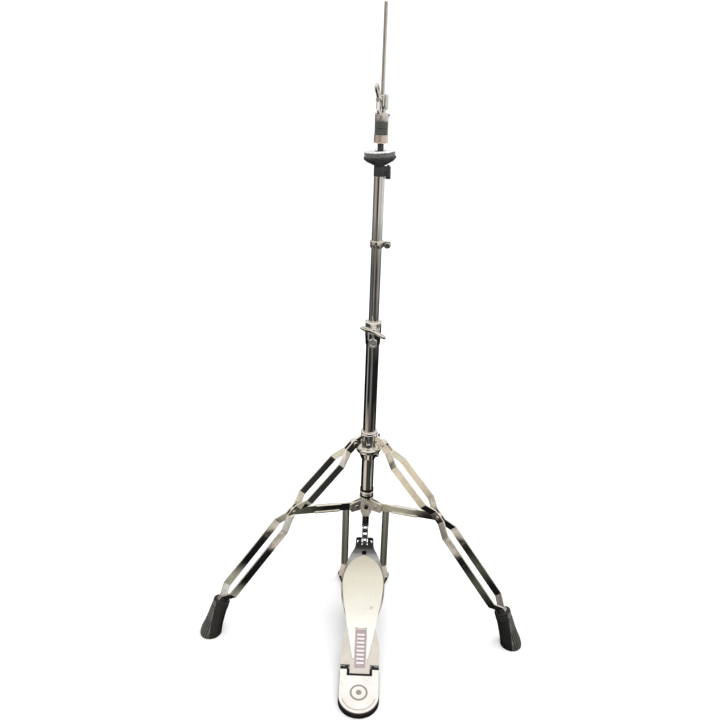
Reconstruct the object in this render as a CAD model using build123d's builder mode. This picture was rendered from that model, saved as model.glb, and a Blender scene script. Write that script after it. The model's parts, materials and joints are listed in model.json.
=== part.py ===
"""Hi-hat cymbal stand: a two-legged stand with a single-chain pedal.

Millimetres, +Z up. The origin is on the floor under the column's axis. The pedal points to -Y
and the legs to the two sides.
"""
import os
from math import asin, atan2, cos, degrees, hypot, pi, radians, sin

from build123d import *

os.makedirs("parts", exist_ok=True)


def save(part, name):
    """Label a finished piece and write its STEP file."""
    part.label = name
    export_step(part, f"parts/{name}.step")


# ---------------------------------------------------------------- driving dimensions
GAP = 0.3                  # air between pieces that move past each other
RUNNING = 0.05             # radial clearance of a pin or shaft in its hole

# column
LOWER_TUBE_R = 12.7
LOWER_TUBE_BORE = 11.1
UPPER_TUBE_R = 9.525
UPPER_TUBE_BORE = 8.0
ROD_R = 3.0
TUBE_BOTTOM = 219.0
TUBE_TOP = 600.0
UPPER_TUBE_BOTTOM = 430.0
UPPER_TUBE_TOP = 878.0
ROD_TOP = 1163.0
ROD_JOINT = 415.0          # where the cymbal rod screws into the pull rod

# base of the column
FERRULE_R = 13.3
FERRULE_TOP = 238.0
SOCKET_BOTTOM = 180.0
SOCKET_R = 11.5
WING_TOP = 212.0
WING_BOTTOM = 191.0
WING_REACH = 38.0
PLATE = 2.5                # stamped bracket sheet
BRACE_PIVOT = (24.0, 201.5)
BRACE_THICK = 4.0
BRACE_TALL = 16.0

# legs, in the radial plane of each leg: distance from the axis, height
LEG_TURN = 29.0            # degrees that each leg points forward of straight sideways
HUB_PIVOT = (33.0, 350.0)
MID_PIVOT = (163.0, 229.0)
LEG_DROP = 45.0            # degrees below level of the line from hub pivot to rubber foot
LEG_LENGTH = 396.5         # hub pivot to where the straps enter the rubber foot
STRAP_WIDE = 16.0
STRAP_THICK = 3.0
STRAP_SPREAD = 18.5        # strap centre line to the leg's own plane, in the loops
FOOT_SLOPE = 70.0          # degrees of the rubber foot below level
FOOT_LENGTH = 82.0

# hub
HUB_TOP = 371.0
HUB_FLANGE_TOP = 337.0
HUB_FLANGE_BOTTOM = 326.0
HUB_BOTTOM = 311.0
HUB_BORE = 13.7
HUB_R = 15.8
HUB_FLANGE_R = 24.5
EAR_THICK = 6.0

# pedal
BOARD_SLOPE = 21.05        # degrees of the footboard above level at rest
BOARD_HEEL = (-263.0, 23.0)   # Y and Z of the footboard's top face above its hinge
BOARD_LENGTH = 270.0
BOARD_THICK = 4.5
BOARD_SKIRT = 9.0
BOARD_HINGE = (-261.0, 16.5)
HINGE_PIN_R = 2.5
HEEL_HALF_WIDTH = 35.5
HEEL_REAR = -351.0
NOTCH_HALF_WIDTH = 20.8
TONGUE_HALF_WIDTH = 18.3

# uprights of the pedal frame
STRUT_X = 42.0
STRUT_Y = 13.5
STRUT_WIDE = 14.5
STRUT_DEEP = 8.0
STRUT_BOTTOM = 33.0
STRUT_TOP = 185.0
CROSSBAR_THICK = 3.0

# chain
CHAIN_TOP = (0.0, 147.5)   # Y and Z of the clevis pin
CHAIN_FOOT = (-15.7, 112.8)   # Y and Z of the toe pin
CHAIN_LINKS = 3
ROLLER_R = 4.3

# seat for the lower cymbal
SEAT_TILT = 4.6            # degrees, the right side higher
SEAT_PIVOT_Z = 905.0
STEM_R = 10.3
STEM_SHOULDER = 895.2
STEM_NECK_TOP = 901.8
SLEEVE_R = 5.4
SLEEVE_TOP = 934.4
FELT_R = 27.2
CUP_R = 28.8

# clutch
CLUTCH_BOTTOM = 935.0
NUT_TOP = 949.5
FELT_SPLIT = 960.5
FELTS_TOP = 971.6
KNURL_TOP = 984.8
CLUTCH_TOP = 1016.0
CLUTCH_TUBE_R = 6.2

# height clamp and memory lock
CLAMP_BOTTOM = 558.0
CLAMP_TOP = 604.5
CLAMP_R = 15.3
LOCK_BOTTOM = 748.0
LOCK_TOP = 761.0
LOCK_R = 12.0

# wing bolts
WING_SHANK_R = 3.0
HEIGHT_BOLT_Z = 594.0
HEIGHT_BOSS_REACH = 24.0
HUB_BOLT_Z = 318.0
HUB_BOSS_REACH = 28.0
HUB_BOLT_TURN = 27.0       # degrees that the rear bolt points to the right of straight back
CLUTCH_BOLT_Z = 1009.0
CLUTCH_BOLT_TURN = 20.0    # degrees that the clutch bolt points to the left of straight forward
CLUTCH_SHANK_R = 2.5


# ---------------------------------------------------------------- column
with BuildPart() as lower_tube:
    with BuildSketch(Plane.XY.offset(TUBE_BOTTOM)):
        Circle(LOWER_TUBE_R)
        Circle(LOWER_TUBE_BORE, mode=Mode.SUBTRACT)
    extrude(amount=TUBE_TOP - TUBE_BOTTOM)
    with BuildSketch(Plane.XZ):     # hole for the height wing bolt, at the front
        with Locations((0, HEIGHT_BOLT_Z)):
            Circle(WING_SHANK_R + 0.4)
    extrude(amount=LOWER_TUBE_R + 1, mode=Mode.SUBTRACT)
save(lower_tube.part, "lower_tube")

with BuildPart() as upper_tube:
    with BuildSketch(Plane.XY.offset(UPPER_TUBE_BOTTOM)):
        Circle(UPPER_TUBE_R)
        Circle(UPPER_TUBE_BORE, mode=Mode.SUBTRACT)
    extrude(amount=UPPER_TUBE_TOP - UPPER_TUBE_BOTTOM)
save(upper_tube.part, "upper_tube")

# The tube's foot socket: a spigot up inside the tube, a grooved ferrule that the tube stands on,
# and a block that the two bracket plates clamp.
SPIGOT_R = LOWER_TUBE_BORE - 0.05
PULL_ROD_R = 4.0
SOCKET_BORE = PULL_ROD_R + RUNNING
BLOCK_DEEP = 19.0
with BuildPart() as tube_socket:
    with BuildSketch(Plane.XZ):
        with BuildLine():
            Polyline(
                (SOCKET_BORE, SOCKET_BOTTOM), (SOCKET_R, SOCKET_BOTTOM), (SOCKET_R, WING_TOP),
                (FERRULE_R, TUBE_BOTTOM - 4), (FERRULE_R, TUBE_BOTTOM),
                (SPIGOT_R, TUBE_BOTTOM), (SPIGOT_R, FERRULE_TOP + 4), (SOCKET_BORE, FERRULE_TOP + 4),
                close=True,
            )
        make_face()
    revolve(axis=Axis.Z)
    for front in (-1, 1):     # flats for the bracket plates
        with BuildSketch(Plane.XY.offset(SOCKET_BOTTOM)):
            with Locations((0, front * (BLOCK_DEEP / 2 + 5))):
                Rectangle(2 * SOCKET_R + 2, 10)
        extrude(amount=WING_TOP - SOCKET_BOTTOM, mode=Mode.SUBTRACT)
save(tube_socket.part, "tube_socket")

# Grooved ring round the tube's foot, turned by hand to set the spring.
RING_BOTTOM = TUBE_BOTTOM + 0.4
with BuildPart() as tension_ring:
    with BuildSketch(Plane.XZ):
        with BuildLine():
            Polyline(
                (LOWER_TUBE_R + RUNNING, RING_BOTTOM), (13.9, RING_BOTTOM), (13.9, 222.5),
                (13.3, 223.2), (13.3, 225.3), (13.9, 226.0), (13.9, 231.0), (13.3, 231.7),
                (13.3, 233.6), (13.9, 234.3), (13.9, FERRULE_TOP), (LOWER_TUBE_R + RUNNING, FERRULE_TOP),
                close=True,
            )
        make_face()
    revolve(axis=Axis.Z)
    with BuildSketch(Plane.XY.offset(RING_BOTTOM)):
        with PolarLocations(14.2, 24):
            Circle(0.55)
    extrude(amount=FERRULE_TOP - RING_BOTTOM, mode=Mode.SUBTRACT)
save(tension_ring.part, "spring_tension_ring")


# ---------------------------------------------------------------- leg frames
SIDES = {"left": -1, "right": 1}
mid_out = MID_PIVOT[0] - HUB_PIVOT[0]
mid_down = HUB_PIVOT[1] - MID_PIVOT[1]
MID_REACH = mid_out * cos(radians(LEG_DROP)) + mid_down * sin(radians(LEG_DROP))
MID_BOW = mid_out * sin(radians(LEG_DROP)) - mid_down * cos(radians(LEG_DROP))


def radial_plane(side, toward_front=0.0):
    """Plane of one leg: x outward from the column and y up, moved toward the pedal's side.

    side is 1 for the right leg and -1 for the left. The plane's z points to the pedal's side on
    the right and away from it on the left.
    """
    turn = radians(LEG_TURN)
    outward = Vector(side * cos(turn), -sin(turn), 0)
    plane = Plane(origin=(0, 0, 0), x_dir=outward, z_dir=outward.cross(Vector(0, 0, 1)))
    return plane.offset(side * toward_front)


def in_leg_plane(side, slope, start):
    """Plane through a point of the leg's plane: x down the given slope, y across the leg."""
    flat = radial_plane(side)
    drop = radians(slope)
    along = flat.x_dir * cos(drop) - Vector(0, 0, 1) * sin(drop)
    across = flat.z_dir
    origin = flat.from_local_coords(Vector(start[0], start[1], 0))
    return Plane(origin=origin, x_dir=along, z_dir=along.cross(across))


# ---------------------------------------------------------------- bracket plates
WING_OFFSET = BRACE_THICK / 2 + GAP
NECK_BOTTOM = 176.0
MIDDLE_HALF_WIDTH = 13.0
PLATE_SCREW_Z = 199.0
PIVOT_R = 2.5

for name, front in (("front_bracket_plate", 1), ("rear_bracket_plate", -1)):
    with BuildPart() as plate:
        for side in SIDES.values():
            with BuildSketch(radial_plane(side, front * WING_OFFSET)):
                with BuildLine():
                    Polyline(
                        (10.5, WING_BOTTOM), (WING_REACH - 3, WING_BOTTOM),
                        (WING_REACH, WING_BOTTOM + 3), (WING_REACH, WING_TOP - 4),
                        (WING_REACH - 3, WING_TOP - 1), (10.5, WING_TOP + 3), close=True,
                    )
                make_face()
            extrude(amount=side * front * PLATE)
        half = MIDDLE_HALF_WIDTH - 1.5 if front > 0 else MIDDLE_HALF_WIDTH
        with BuildSketch(Plane.XZ.offset(front * BLOCK_DEEP / 2)):
            with BuildLine():
                Polyline(
                    (-half, WING_BOTTOM), (-9, NECK_BOTTOM + 6), (-7.5, NECK_BOTTOM),
                    (7.5, NECK_BOTTOM), (9, NECK_BOTTOM + 6), (half, WING_BOTTOM),
                    (half, WING_TOP + 2), (-half, WING_TOP + 2), close=True,
                )
            make_face()
        extrude(amount=front * PLATE)
        if front < 0:     # side webs carry the rear plate round the socket block to its wings
            with BuildSketch(Plane.XY.offset(WING_BOTTOM)):
                with Locations((-MIDDLE_HALF_WIDTH - PLATE / 2, 3), (MIDDLE_HALF_WIDTH + PLATE / 2, 3)):
                    Rectangle(PLATE, BLOCK_DEEP - 1)
            extrude(amount=WING_TOP + 2 - WING_BOTTOM)
        with BuildSketch(Plane.XY.offset(NECK_BOTTOM)):
            Rectangle(2 * MIDDLE_HALF_WIDTH, BLOCK_DEEP)
        extrude(amount=WING_TOP + 10 - NECK_BOTTOM, mode=Mode.SUBTRACT)
        with BuildSketch(Plane.XY.offset(WING_TOP)):
            Circle(FERRULE_R)
        extrude(amount=10, mode=Mode.SUBTRACT)
        for side in SIDES.values():
            with BuildSketch(radial_plane(side)):
                with Locations(BRACE_PIVOT):
                    Circle(PIVOT_R)
            extrude(amount=10, both=True, mode=Mode.SUBTRACT)
        with BuildSketch(Plane.XZ.offset(front * BLOCK_DEEP / 2)):
            with Locations((0, PLATE_SCREW_Z)):
                Circle(2.5)
        extrude(amount=front * PLATE, mode=Mode.SUBTRACT)
    save(plate.part, name)

# Socket-head screws that hold the plates to the block, one at the front and one at the rear.
with BuildPart() as bracket_screws:
    for front in (1, -1):
        grip = PLATE if front > 0 else PLATE + CROSSBAR_THICK
        with BuildSketch(Plane.XZ.offset(front * BLOCK_DEEP / 2)):
            with Locations((0, PLATE_SCREW_Z)):
                Circle(2.5)
        extrude(amount=front * grip)
        with BuildSketch(Plane.XZ.offset(front * (BLOCK_DEEP / 2 + grip))):
            with Locations((0, PLATE_SCREW_Z)):
                Circle(4.2)
        extrude(amount=front * 3.2)
        with BuildSketch(Plane.XZ.offset(front * (BLOCK_DEEP / 2 + grip + 1.4))):
            with Locations((0, PLATE_SCREW_Z)):
                RegularPolygon(2.2, 6)
        extrude(amount=front * 1.8, mode=Mode.SUBTRACT)
save(bracket_screws.part, "bracket_screws")

# Rivets through the wings, on which the braces turn.
WING_OUTSIDE = WING_OFFSET + PLATE
with BuildPart() as brace_rivets:
    for side in SIDES.values():
        with BuildSketch(radial_plane(side)):
            with Locations(BRACE_PIVOT):
                Circle(PIVOT_R)
        extrude(amount=WING_OUTSIDE, both=True)
        for front in (1, -1):
            with BuildSketch(radial_plane(side, front * WING_OUTSIDE)):
                with Locations(BRACE_PIVOT):
                    Circle(3.9)
            extrude(amount=side * front * 1.6, taper=35)
save(brace_rivets.part, "brace_rivets")


# ---------------------------------------------------------------- braces
BRACE_LENGTH = hypot(MID_PIVOT[0] - BRACE_PIVOT[0], MID_PIVOT[1] - BRACE_PIVOT[1])
BRACE_RISE = degrees(atan2(MID_PIVOT[1] - BRACE_PIVOT[1], MID_PIVOT[0] - BRACE_PIVOT[0]))

LIP_START = 38.0
LIP_LENGTH = 56.0          # the lips stop where the leg's two straps pass as the stand folds

for name, side in SIDES.items():
    with BuildPart() as brace:
        plane = in_leg_plane(side, -BRACE_RISE, BRACE_PIVOT)
        face = Plane(origin=plane.origin, x_dir=plane.x_dir, z_dir=plane.y_dir)
        with BuildSketch(face):
            with Locations((BRACE_LENGTH / 2, 0)):
                SlotCenterToCenter(BRACE_LENGTH, BRACE_TALL)
            Circle(PIVOT_R + RUNNING, mode=Mode.SUBTRACT)
        extrude(amount=BRACE_THICK / 2, both=True)
        # pressed lips that stiffen the strip between its ends
        with BuildSketch(face):
            for edge in (1, -1):
                with Locations((LIP_START + LIP_LENGTH / 2, edge * (BRACE_TALL / 2 - 1))):
                    Rectangle(LIP_LENGTH, 2)
        extrude(amount=BRACE_THICK / 2 + 2.5, both=True)
    save(brace.part, f"{name}_brace")


# ---------------------------------------------------------------- hub
hub_bolt_axis = Vector(sin(radians(HUB_BOLT_TURN)), cos(radians(HUB_BOLT_TURN)), 0)
hub_bolt_plane = Plane(origin=(0, 0, HUB_BOLT_Z), x_dir=(0, 0, 1), z_dir=hub_bolt_axis)

with BuildPart() as leg_hub:
    with BuildSketch(Plane.XZ):
        with BuildLine():
            Polyline(
                (HUB_BORE, HUB_BOTTOM), (15.4, HUB_BOTTOM), (19.5, HUB_FLANGE_BOTTOM - 1),
                (HUB_FLANGE_R - 1.5, HUB_FLANGE_BOTTOM), (HUB_FLANGE_R, HUB_FLANGE_BOTTOM + 2),
                (HUB_FLANGE_R, HUB_FLANGE_TOP - 3), (HUB_FLANGE_R - 2, HUB_FLANGE_TOP - 1),
                (17, HUB_FLANGE_TOP), (HUB_R, HUB_FLANGE_TOP + 3), (HUB_R, HUB_TOP - 6),
                (HUB_R - 0.9, HUB_TOP - 5.2), (HUB_R - 0.9, HUB_TOP - 4.2), (HUB_R + 0.9, HUB_TOP - 3.4),
                (HUB_R + 0.9, HUB_TOP - 1), (HUB_R - 0.2, HUB_TOP), (HUB_BORE, HUB_TOP), close=True,
            )
        make_face()
    revolve(axis=Axis.Z)
    for side in SIDES.values():
        with BuildSketch(radial_plane(side)):
            with BuildLine():
                Polyline(
                    (15.0, HUB_FLANGE_TOP - 2), (22.5, HUB_FLANGE_TOP - 2), (29, HUB_PIVOT[1] - 9),
                    (35, HUB_PIVOT[1] - 7), (40, HUB_PIVOT[1] - 3), (40, HUB_PIVOT[1] + 3),
                    (36, HUB_PIVOT[1] + 7), (30, HUB_PIVOT[1] + 9), (20, HUB_TOP - 8), (15, HUB_TOP - 8),
                    close=True,
                )
            make_face()
            with Locations(HUB_PIVOT):
                Circle(PIVOT_R, mode=Mode.SUBTRACT)
        extrude(amount=EAR_THICK / 2, both=True)
    # small boss at the front, and the rear boss that carries the wing bolt
    with BuildSketch(Plane.XZ.offset(14)):
        with Locations((0, 344)):
            Circle(4.3)
    extrude(amount=6)
    with BuildSketch(hub_bolt_plane):
        Circle(7.0)
    extrude(amount=HUB_BOSS_REACH)
    with BuildSketch(Plane.XY.offset(HUB_BOTTOM)):
        Circle(HUB_BORE)
    extrude(amount=HUB_TOP - HUB_BOTTOM, mode=Mode.SUBTRACT)
    with BuildSketch(hub_bolt_plane):
        Circle(WING_SHANK_R + RUNNING)
    extrude(amount=HUB_BOSS_REACH + 1, mode=Mode.SUBTRACT)
save(leg_hub.part, "leg_hub")

# Nylon sleeve inside the hub, which slides on the tube.
with BuildPart() as hub_sleeve:
    with BuildSketch(Plane.XY.offset(HUB_BOTTOM + 1)):
        Circle(HUB_BORE - 0.02)
        Circle(LOWER_TUBE_R + 0.06, mode=Mode.SUBTRACT)
    extrude(amount=HUB_TOP - HUB_BOTTOM - 2)
save(hub_sleeve.part, "hub_sleeve")

STRAP_AT_HUB = EAR_THICK / 2 + 0.2 + STRAP_THICK / 2
STRAP_AT_MID = BRACE_THICK / 2 + GAP + STRAP_THICK / 2
STRAP_AT_FOOT = 2.6
RIVET_HEAD = 1.8
with BuildPart() as hub_rivets:
    for side in SIDES.values():
        outside = STRAP_AT_HUB + STRAP_THICK / 2 + 0.2
        with BuildSketch(radial_plane(side)):
            with Locations(HUB_PIVOT):
                Circle(PIVOT_R)
        extrude(amount=outside, both=True)
        for front in (1, -1):
            with BuildSketch(radial_plane(side, front * outside)):
                with Locations(HUB_PIVOT):
                    Circle(4.4)
            extrude(amount=side * front * RIVET_HEAD, taper=35)
save(hub_rivets.part, "hub_rivets")


# ---------------------------------------------------------------- legs
def strap_outline(points, thick):
    """Corners of a bent strip of even thickness whose middle line runs through the points."""
    upper = []
    lower = []
    for i, (x, y) in enumerate(points):
        before = points[max(i - 1, 0)]
        after = points[min(i + 1, len(points) - 1)]
        turn_in = atan2(y - before[1], x - before[0]) if i else atan2(after[1] - y, after[0] - x)
        turn_out = atan2(after[1] - y, after[0] - x) if i < len(points) - 1 else turn_in
        middle = (turn_in + turn_out) / 2
        half = thick / 2 / cos((turn_out - turn_in) / 2)
        upper.append((x - half * sin(middle), y + half * cos(middle)))
        lower.append((x + half * sin(middle), y - half * cos(middle)))
    return upper + lower[::-1]


STRAP_BENDS = (
    (-8, STRAP_AT_HUB), (20, STRAP_AT_HUB), (50, STRAP_SPREAD), (MID_REACH - 36, STRAP_SPREAD),
    (MID_REACH - 12, STRAP_AT_MID), (MID_REACH + 12, STRAP_AT_MID), (MID_REACH + 38, STRAP_SPREAD),
    (LEG_LENGTH - 25, STRAP_SPREAD), (LEG_LENGTH - 6, STRAP_AT_FOOT), (LEG_LENGTH + 14, STRAP_AT_FOOT),
)
STRAP_BOW = ((0, 0), (MID_REACH, MID_BOW), (LEG_LENGTH - 25, 0), (LEG_LENGTH + 14, 0))
FOOT_RIVET = LEG_LENGTH + 7

for name, side in SIDES.items():
    leg_face = in_leg_plane(side, LEG_DROP, HUB_PIVOT)
    strap_flat = Plane(origin=leg_face.origin, x_dir=leg_face.x_dir, z_dir=leg_face.y_dir)
    for place, front in (("front", 1), ("rear", -1)):
        with BuildPart() as strap:
            with BuildSketch(leg_face):
                bends = [(along, across * front * side) for along, across in STRAP_BENDS]
                with BuildLine():
                    Polyline(*strap_outline(bends, STRAP_THICK), close=True)
                make_face()
            extrude(amount=STRAP_WIDE / 2 + MID_BOW, both=True)
            with BuildSketch(strap_flat):     # bow the strap, round its top and drill the pivot
                with BuildLine():
                    Polyline(*strap_outline(STRAP_BOW, STRAP_WIDE), close=True)
                make_face()
                Circle(STRAP_WIDE / 2)
                Circle(PIVOT_R + RUNNING, mode=Mode.SUBTRACT)
            extrude(amount=STRAP_SPREAD + 5, both=True, mode=Mode.INTERSECT)
        save(strap.part, f"{name}_leg_{place}_strap")

# Rubber feet: a flared boot, steeper than the leg, cut level where it stands on the floor.
FOOT_TOP = (
    HUB_PIVOT[0] + (LEG_LENGTH - 2) * cos(radians(LEG_DROP)),
    HUB_PIVOT[1] - (LEG_LENGTH - 2) * sin(radians(LEG_DROP)),
)
FOOT_TOP_R = 16.0
FOOT_SOLE_R = 20.5

for name, side in SIDES.items():
    foot_face = in_leg_plane(side, FOOT_SLOPE, FOOT_TOP)
    profile_face = Plane(origin=foot_face.origin, x_dir=foot_face.x_dir, z_dir=foot_face.y_dir)
    leg_face = in_leg_plane(side, LEG_DROP, HUB_PIVOT)
    with BuildPart() as foot:
        with BuildSketch(profile_face):
            with BuildLine():
                crown = Polyline((0, 0), (0, FOOT_TOP_R - 2), (2, FOOT_TOP_R))
                flank = Spline(
                    crown @ 1, (30, FOOT_TOP_R + 0.8), (56, FOOT_SOLE_R - 1.6), (FOOT_LENGTH - 12, FOOT_SOLE_R),
                    tangents=((1, 0), (1, 0)),
                )
                heel = ThreePointArc(
                    flank @ 1, (FOOT_LENGTH, FOOT_SOLE_R - 1.8), (FOOT_LENGTH + 8, FOOT_SOLE_R - 6),
                )
                Polyline(heel @ 1, (FOOT_LENGTH + 8, 0), (0, 0))
            make_face()
        revolve(axis=Axis(profile_face.origin, profile_face.x_dir))
        with BuildSketch(Plane.XY):
            Rectangle(1000, 1000)
        extrude(amount=-40, mode=Mode.SUBTRACT)
        with BuildSketch(leg_face):     # pocket that the two strap ends are pushed into
            with Locations((LEG_LENGTH + 1.7, 0)):
                Rectangle(25.4, 2 * STRAP_AT_FOOT + STRAP_THICK + 0.2)
        extrude(amount=STRAP_WIDE / 2 + 0.1, both=True, mode=Mode.SUBTRACT)
    save(foot.part, f"{name}_rubber_foot")

# Rivets of each leg: a stub in each strap at the brace, and a spacer with a rivet in the boot.
for name, side in SIDES.items():
    with BuildPart() as leg_rivets:
        outside = STRAP_AT_MID + STRAP_THICK / 2
        for front in (1, -1):
            with BuildSketch(radial_plane(side, front * outside)):
                with Locations(MID_PIVOT):
                    Circle(4.4)
            extrude(amount=side * front * RIVET_HEAD, taper=35)
        strap_flat = in_leg_plane(side, LEG_DROP, HUB_PIVOT)
        spacer = Plane(origin=strap_flat.origin, x_dir=strap_flat.x_dir, z_dir=strap_flat.y_dir)
        with BuildSketch(spacer):
            with Locations((FOOT_RIVET, 0)):
                Rectangle(10, STRAP_WIDE - 4)
        extrude(amount=STRAP_AT_FOOT - STRAP_THICK / 2, both=True)
    save(leg_rivets.part, f"{name}_leg_rivets")


# ---------------------------------------------------------------- pedal frame on the floor
BASE_RUBBER_TOP = 5.0
BASE_PLATE_TOP = 8.0
FRAME_ROD_X = 24.5
FRAME_ROD_Z = 10.9
FRAME_ROD_R = 2.5
BASE_CORNERS = ((54, 28), (54, 21), (31, -45))


def base_outline(grow):
    """Corners of the tapered floor plate, grown outward by an even amount."""
    (rear_x, rear_y), (side_x, side_y), (front_x, front_y) = BASE_CORNERS
    right = [
        (rear_x + grow, rear_y + grow), (side_x + grow, side_y), (front_x + grow, front_y - grow),
    ]
    return right + [(-x, y) for x, y in reversed(right)]


with BuildPart() as base_rubber:
    with BuildSketch(Plane.XY) as outline:
        with BuildLine():
            Polyline(*base_outline(1.5), close=True)
        make_face()
        fillet(outline.vertices(), 4)
    extrude(amount=BASE_RUBBER_TOP)
save(base_rubber.part, "base_rubber")

with BuildPart() as base_plate:
    with BuildSketch(Plane.XY.offset(BASE_RUBBER_TOP)) as outline:
        with BuildLine():
            Polyline(*base_outline(0), close=True)
        make_face()
        fillet(outline.vertices(), 4)
    extrude(amount=BASE_PLATE_TOP - BASE_RUBBER_TOP)
    with BuildSketch(Plane.XY.offset(BASE_PLATE_TOP)):     # eyes for the frame rods
        with Locations((-FRAME_ROD_X, -36), (FRAME_ROD_X, -36)):
            Rectangle(9, 12)
    extrude(amount=7)
    with BuildSketch(Plane.XZ):
        with Locations((-FRAME_ROD_X, FRAME_ROD_Z), (FRAME_ROD_X, FRAME_ROD_Z)):
            Circle(FRAME_ROD_R)
    extrude(amount=60, mode=Mode.SUBTRACT)
save(base_plate.part, "base_plate")

for name, side in SIDES.items():
    inner = side * (STRUT_X - STRUT_WIDE / 2)
    outer = side * (STRUT_X + STRUT_WIDE / 2)
    # a folded channel, open at the back
    with BuildPart() as strut:
        with BuildSketch(Plane.XY.offset(STRUT_BOTTOM)):
            with Locations((side * STRUT_X, STRUT_Y)):
                Rectangle(STRUT_WIDE, STRUT_DEEP)
            with Locations((side * STRUT_X, STRUT_Y + 2)):
                Rectangle(STRUT_WIDE - 4.4, STRUT_DEEP, mode=Mode.SUBTRACT)
        extrude(amount=STRUT_TOP - STRUT_BOTTOM)
        chamfer(strut.edges().filter_by(Axis.Z).group_by(Axis.Y)[0], 1.6)
    save(strut.part, f"{name}_strut")

    # bent foot that flares outward from the strut to the floor plate
    spread = side * 4.5
    with BuildPart() as strut_foot:
        with BuildSketch(Plane.XZ.offset(-STRUT_Y + STRUT_DEEP / 2)):
            with BuildLine():
                Polyline(
                    (inner, STRUT_BOTTOM + 1), (outer, STRUT_BOTTOM + 5), (outer + spread, BASE_PLATE_TOP),
                    (inner + spread / 2, BASE_PLATE_TOP), close=True,
                )
            make_face()
        extrude(amount=2.5)
        with BuildSketch(Plane.XY.offset(BASE_PLATE_TOP)):
            with Locations((side * (STRUT_X + 2.5), STRUT_Y)):
                Rectangle(STRUT_WIDE + 2, STRUT_DEEP + 5)
        extrude(amount=2.5)
        with BuildSketch(Plane.XY.offset(BASE_PLATE_TOP)):
            with Locations((side * STRUT_X, STRUT_Y)):
                Rectangle(STRUT_WIDE - 5, STRUT_DEEP)
        extrude(amount=STRUT_BOTTOM - BASE_PLATE_TOP)
    save(strut_foot.part, f"{name}_strut_foot")

with BuildPart() as crossbar:
    with BuildSketch(Plane.XZ.offset(-BLOCK_DEEP / 2 - PLATE)):
        with Locations((0, STRUT_TOP - 4)):
            Rectangle(2 * STRUT_X - STRUT_WIDE, 8)
        with Locations((0, STRUT_TOP + 10)):     # tab behind the rear bracket plate
            Rectangle(20, 22)
        with Locations((0, PLATE_SCREW_Z)):
            Circle(2.5, mode=Mode.SUBTRACT)
    extrude(amount=-CROSSBAR_THICK)
save(crossbar.part, "strut_crossbar")

HEEL_RUBBER_TOP = 8.0
HEEL_FRONT = BOARD_HINGE[0] + 6.2
with BuildPart() as frame_rods:
    with BuildSketch(Plane.XZ.offset(26)):
        with Locations((-FRAME_ROD_X, FRAME_ROD_Z), (FRAME_ROD_X, FRAME_ROD_Z)):
            Circle(FRAME_ROD_R)
    extrude(amount=-(HEEL_FRONT - 11) - 26)
save(frame_rods.part, "frame_rods")


# ---------------------------------------------------------------- heel plate
HEEL_TOP_FRONT = (HEEL_FRONT - 3.7, 22.2)
HEEL_TOP_REAR = (HEEL_REAR, 12.0)
HEEL_SLOPE = degrees(atan2(HEEL_TOP_FRONT[1] - HEEL_TOP_REAR[1], HEEL_TOP_FRONT[0] - HEEL_TOP_REAR[0]))
HEEL_STRAIGHT = -314.0
NOTCH_REAR = -274.5


def heel_outline(inset):
    """Plan of the heel plate: straight sides and a round rear, moved inward by the inset."""
    half = HEEL_HALF_WIDTH - inset
    sides = Polyline((-half, HEEL_STRAIGHT), (-half, -240), (half, -240), (half, HEEL_STRAIGHT))
    ThreePointArc(sides @ 1, (0, HEEL_REAR + inset), sides @ 0)


with BuildPart() as heel_rubber:
    with BuildSketch(Plane.XY):
        with BuildLine():
            heel_outline(-1.0)
        make_face()
        with Locations((0, HEEL_FRONT - 1 + 50)):
            Rectangle(200, 100, mode=Mode.SUBTRACT)
    extrude(amount=HEEL_RUBBER_TOP)
save(heel_rubber.part, "heel_rubber")

heel_face = Plane(
    origin=(0, HEEL_TOP_REAR[0], HEEL_TOP_REAR[1]), x_dir=(1, 0, 0),
    z_dir=(0, -sin(radians(HEEL_SLOPE)), cos(radians(HEEL_SLOPE))),
)
RING_CENTRE = 36.0
with BuildPart() as heel_plate:
    with BuildSketch(Plane.YZ):
        with BuildLine():
            front = Polyline(
                HEEL_TOP_FRONT, HEEL_TOP_REAR, (HEEL_REAR, HEEL_RUBBER_TOP),
                (HEEL_FRONT, HEEL_RUBBER_TOP), (HEEL_FRONT, BOARD_HINGE[1]),
            )
            RadiusArc(front @ 1, front @ 0, -6.2)
        make_face()
    extrude(amount=HEEL_HALF_WIDTH, both=True)
    with BuildSketch(Plane.XY):
        with BuildLine():
            heel_outline(0)
        make_face()
    extrude(amount=40, mode=Mode.INTERSECT)
    with BuildSketch(Plane.XY):     # notch for the footboard's tongue
        with Locations((0, NOTCH_REAR + 50)):
            Rectangle(2 * NOTCH_HALF_WIDTH, 100)
    extrude(amount=40, mode=Mode.SUBTRACT)
    with BuildSketch(Plane.YZ):
        with Locations(BOARD_HINGE):
            Circle(HINGE_PIN_R)
    extrude(amount=HEEL_HALF_WIDTH - 3, both=True, mode=Mode.SUBTRACT)
    with BuildSketch(Plane.XZ.offset(-HEEL_FRONT)):
        with Locations((-FRAME_ROD_X, FRAME_ROD_Z), (FRAME_ROD_X, FRAME_ROD_Z)):
            Circle(FRAME_ROD_R)
    extrude(amount=11, mode=Mode.SUBTRACT)
    with BuildSketch(heel_face):     # engraved ring, and a line that follows the round rear
        with Locations((0, RING_CENTRE + 4)):
            Circle(16)
            Circle(12.5, mode=Mode.SUBTRACT)
        with Locations((0, RING_CENTRE + 4)):
            Circle(5)
    extrude(amount=-0.7, mode=Mode.SUBTRACT)
    with BuildSketch(heel_face):
        with BuildLine():
            CenterArc((0, RING_CENTRE), 30.0, 195, 150)
        trace(line_width=1.2)
    extrude(amount=-0.7, mode=Mode.SUBTRACT)
save(heel_plate.part, "heel_plate")

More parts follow.
